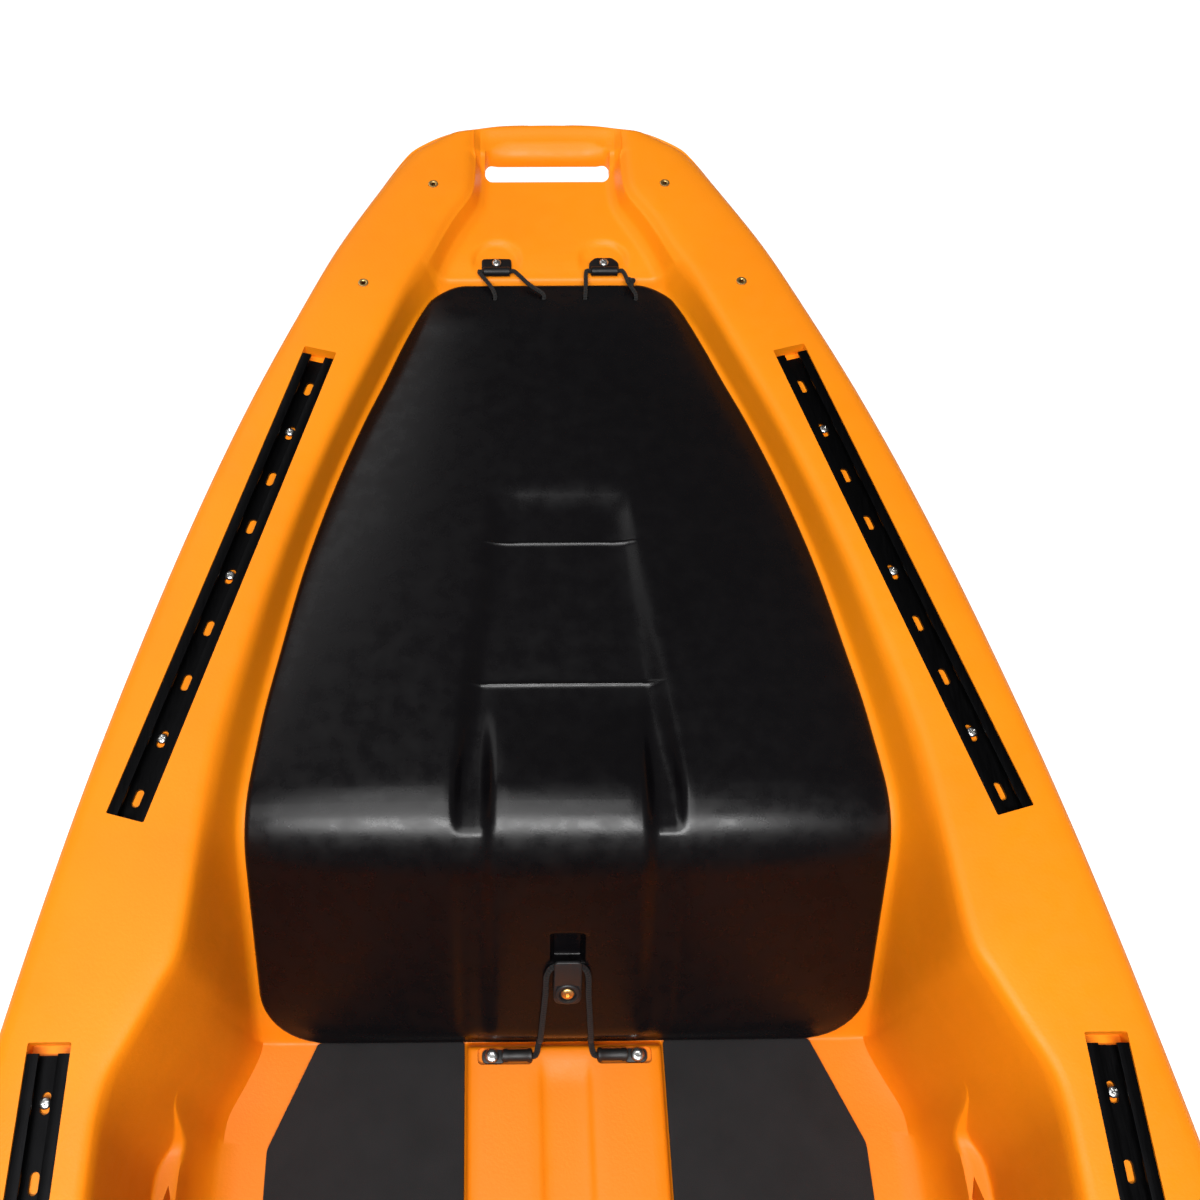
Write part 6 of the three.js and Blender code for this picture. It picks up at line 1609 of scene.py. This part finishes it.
for side_name, side in SIDES:
    for number, share in enumerate(EYE_PLACES):
        aft = share * HULL_LENGTH
        eye_out = HALF_BEAM * follow(TANK_EDGE, share) + EYE_OUT
        eye_frame = Matrix.Translation((side * eye_out, along(aft), gunwale(aft) + 0.0006))
        eye_bm = slab(eye_outline, -EYE_THICK / 2, EYE_THICK / 2, 0.0009)
        eye = finish_mesh(placed(eye_bm, eye_frame @ LAID_ACROSS), f"eye_{number + 1}_{side_name}")
        hole_frame = eye_frame @ Matrix.Translation((0, 0, EYE_HOLE_UP))
        hole_frame @= Matrix.Rotation(math.pi / 2, 4, "X")
        cut_away(eye, [placed(turned(eye_bore, 32), hole_frame)], True)
        dress(eye, nylon, "hull", "dark_plastic", f"pad_eye_{number + 1}_{side_name}")
TANK_CORD = 0.003
TANK_ROUTE = [
    (-330.67, -604.2, 323.41), (-330.67, -613.2, 323.41), (-330.67, -631.2, 323.41),
    (-330.67, -640.2, 323.41), (-303.67, -658.2, 323.41), (-11.55, -768.6, 326.37),
    (280.57, -879, 329.33), (307.57, -897, 329.33), (307.57, -906, 329.33), (307.57, -924, 329.33),
    (307.57, -933, 329.33), (280.57, -951, 329.33), (30.05, -1061.4, 333.2),
    (-220.46, -1171.8, 337.06), (-247.46, -1189.8, 337.06), (-247.46, -1198.8, 337.06),
    (-247.46, -1216.8, 337.06), (-247.46, -1225.8, 337.06),
]
TANK_CROSSINGS = {5: 8.0, 12: 8.0}  # the second cord lies so much higher at the crossings, mm
for letter, turn in (("a", 1), ("b", -1)):
    route = []
    for number, (x, y, z) in enumerate(TANK_ROUTE):
        lift = TANK_CROSSINGS.get(number, 0) if letter == "b" else 0
        route.append(Vector((turn * x, y, z + lift)) / 1000)
    tank_bm = strand(route, TANK_CORD, 0.004)
    for end in (route[0], route[-1]):
        put(tank_bm, knot(end, TANK_CORD * 0.92, 0.0052))
    dress(finish_mesh(tank_bm, f"well_cord_{letter}"), shock_cord, "hull", "black_cord",
          f"tank_bungee_{letter}")

# Drain plug: a moulded cap with a knurled rim and a slot for a coin, screwed into the stern deck
# by its threaded shank.
PLUG, PLUG_SHANK, PLUG_LONG, THREAD_DEPTH, THREAD_PITCH = 0.017, 0.0098, 0.014, 0.0009, 0.0015
KNURLS, KNURL_DEPTH, PLUG_POINTS, COIN_SLOT = 36, 0.0007, 144, (0.0125, 0.0012)
PLUG_RIM = ((0.0012, 0.0005, 0), (0.0020, 0, 1), (0.0064, 0, 1), (0.0078, 0.0005, 0.3),
            (0.0086, 0.0012, 0))
plug_frame = Matrix.Translation((PLUG_PLACE[0], along(PLUG_PLACE[1]), gunwale(PLUG_PLACE[1])))
rings = []
for low, bevel, depth in PLUG_RIM:
    ring = []
    for t in round_turns(PLUG_POINTS):
        radius = PLUG - bevel - KNURL_DEPTH * depth * (0.5 - 0.5 * math.cos(KNURLS * t))
        ring.append(Vector((radius * math.cos(t), radius * math.sin(t), low)))
    rings.append(ring)
for r, z in ((0.0145, 0.0089), (0.0132, 0.0084), (0.004, 0.0084)):
    rings.append([Vector((r * math.cos(t), r * math.sin(t), z)) for t in round_turns(PLUG_POINTS)])
cap_bm, plug_bm = bmesh.new(), bmesh.new()
cap_ends(cap_bm, loft(cap_bm, rings))
put(plug_bm, cap_bm, plug_frame)
root = PLUG_SHANK - THREAD_DEPTH
thread = [(PLUG_SHANK * 0.85, -PLUG_LONG)]
for k in range(8):
    thread += [(root, -PLUG_LONG + THREAD_PITCH * k + 0.0005),
               (PLUG_SHANK, -PLUG_LONG + THREAD_PITCH * k + 0.00125)]
thread += [(root, 0.0012), (root, 0.0030)]
put(plug_bm, turned(thread, 40), plug_frame)
plug = finish_mesh(plug_bm, "plug_cap", 30)
coin_slot = slab(rounded(corners(*COIN_SLOT), 0.0011), 0.0052, 0.02)
coin_slot = placed(coin_slot, plug_frame @ Matrix.Rotation(0.6, 4, "Z"))
cut_away(plug, [coin_slot], True, 30)
dress(plug, nylon, "drain_plug", "dark_plastic", "drain_plug")

# Stage: a plain white floor and backdrop, with soft studio lamps. The long lamp behind the camera
# is what shows as the bright band along the hatch's bend.
floor_bm = bmesh.new()
bmesh.ops.create_grid(floor_bm, x_segments=1, y_segments=1, size=45,
                      matrix=Matrix.Translation((0, 0, -0.0005)))
floor_sheet = finish_mesh(floor_bm, "studio_floor")
floor_paint = bpy.data.materials.new("studio_white")
floor_paint.use_nodes = True
floor_surface = floor_paint.node_tree.nodes["Principled BSDF"]
for socket, value in (("Base Color", (0.8, 0.8, 0.8, 1)), ("Roughness", 0.9),
                      ("Emission Color", (1, 1, 1, 1)), ("Emission Strength", 0.52)):
    floor_surface.inputs[socket].default_value = value
floor_sheet.data.materials.append(floor_paint)

world = bpy.data.worlds.new("studio")
bpy.context.scene.world = world
world.use_nodes = True
sky = world.node_tree
background = sky.nodes["Background"]
background.inputs["Color"].default_value = (1, 1, 1, 1)
rays = sky.nodes.new("ShaderNodeLightPath")
SHARES = (("Is Camera Ray", 1.0), ("Is Transmission Ray", 1.0), ("Is Diffuse Ray", 0.13),
          ("Is Glossy Ray", 0.11))
total = 0.0
for ray, share in SHARES:
    total = reckon(sky, "MULTIPLY_ADD", rays.outputs[ray], share, total)
sky.links.new(total, background.inputs["Strength"])


def lamp(name, place, target, size, size_y, watts):
    data = bpy.data.lights.new(name, "AREA")
    data.shape = "RECTANGLE"
    data.size, data.size_y = size, size_y
    data.energy = watts
    made = bpy.data.objects.new(name, data)
    made.location = place
    made.rotation_euler = (Vector(target) - Vector(place)).to_track_quat("-Z", "Y").to_euler()
    collection.objects.link(made)


lamp("over", (-0.8, -0.1, 4.2), (-0.3, 0.4, 0.2), 2.4, 2.6, 88)
lamp("band", (-0.12, -0.95, 3.2), (0, 1.1, 0.3), 2.6, 0.5, 122)
lamp("bow", (-1.6, 3.2, 2.6), (0, 1.2, 0.3), 1.6, 1.6, 11)
bpy.context.scene.view_settings.view_transform = "Standard"
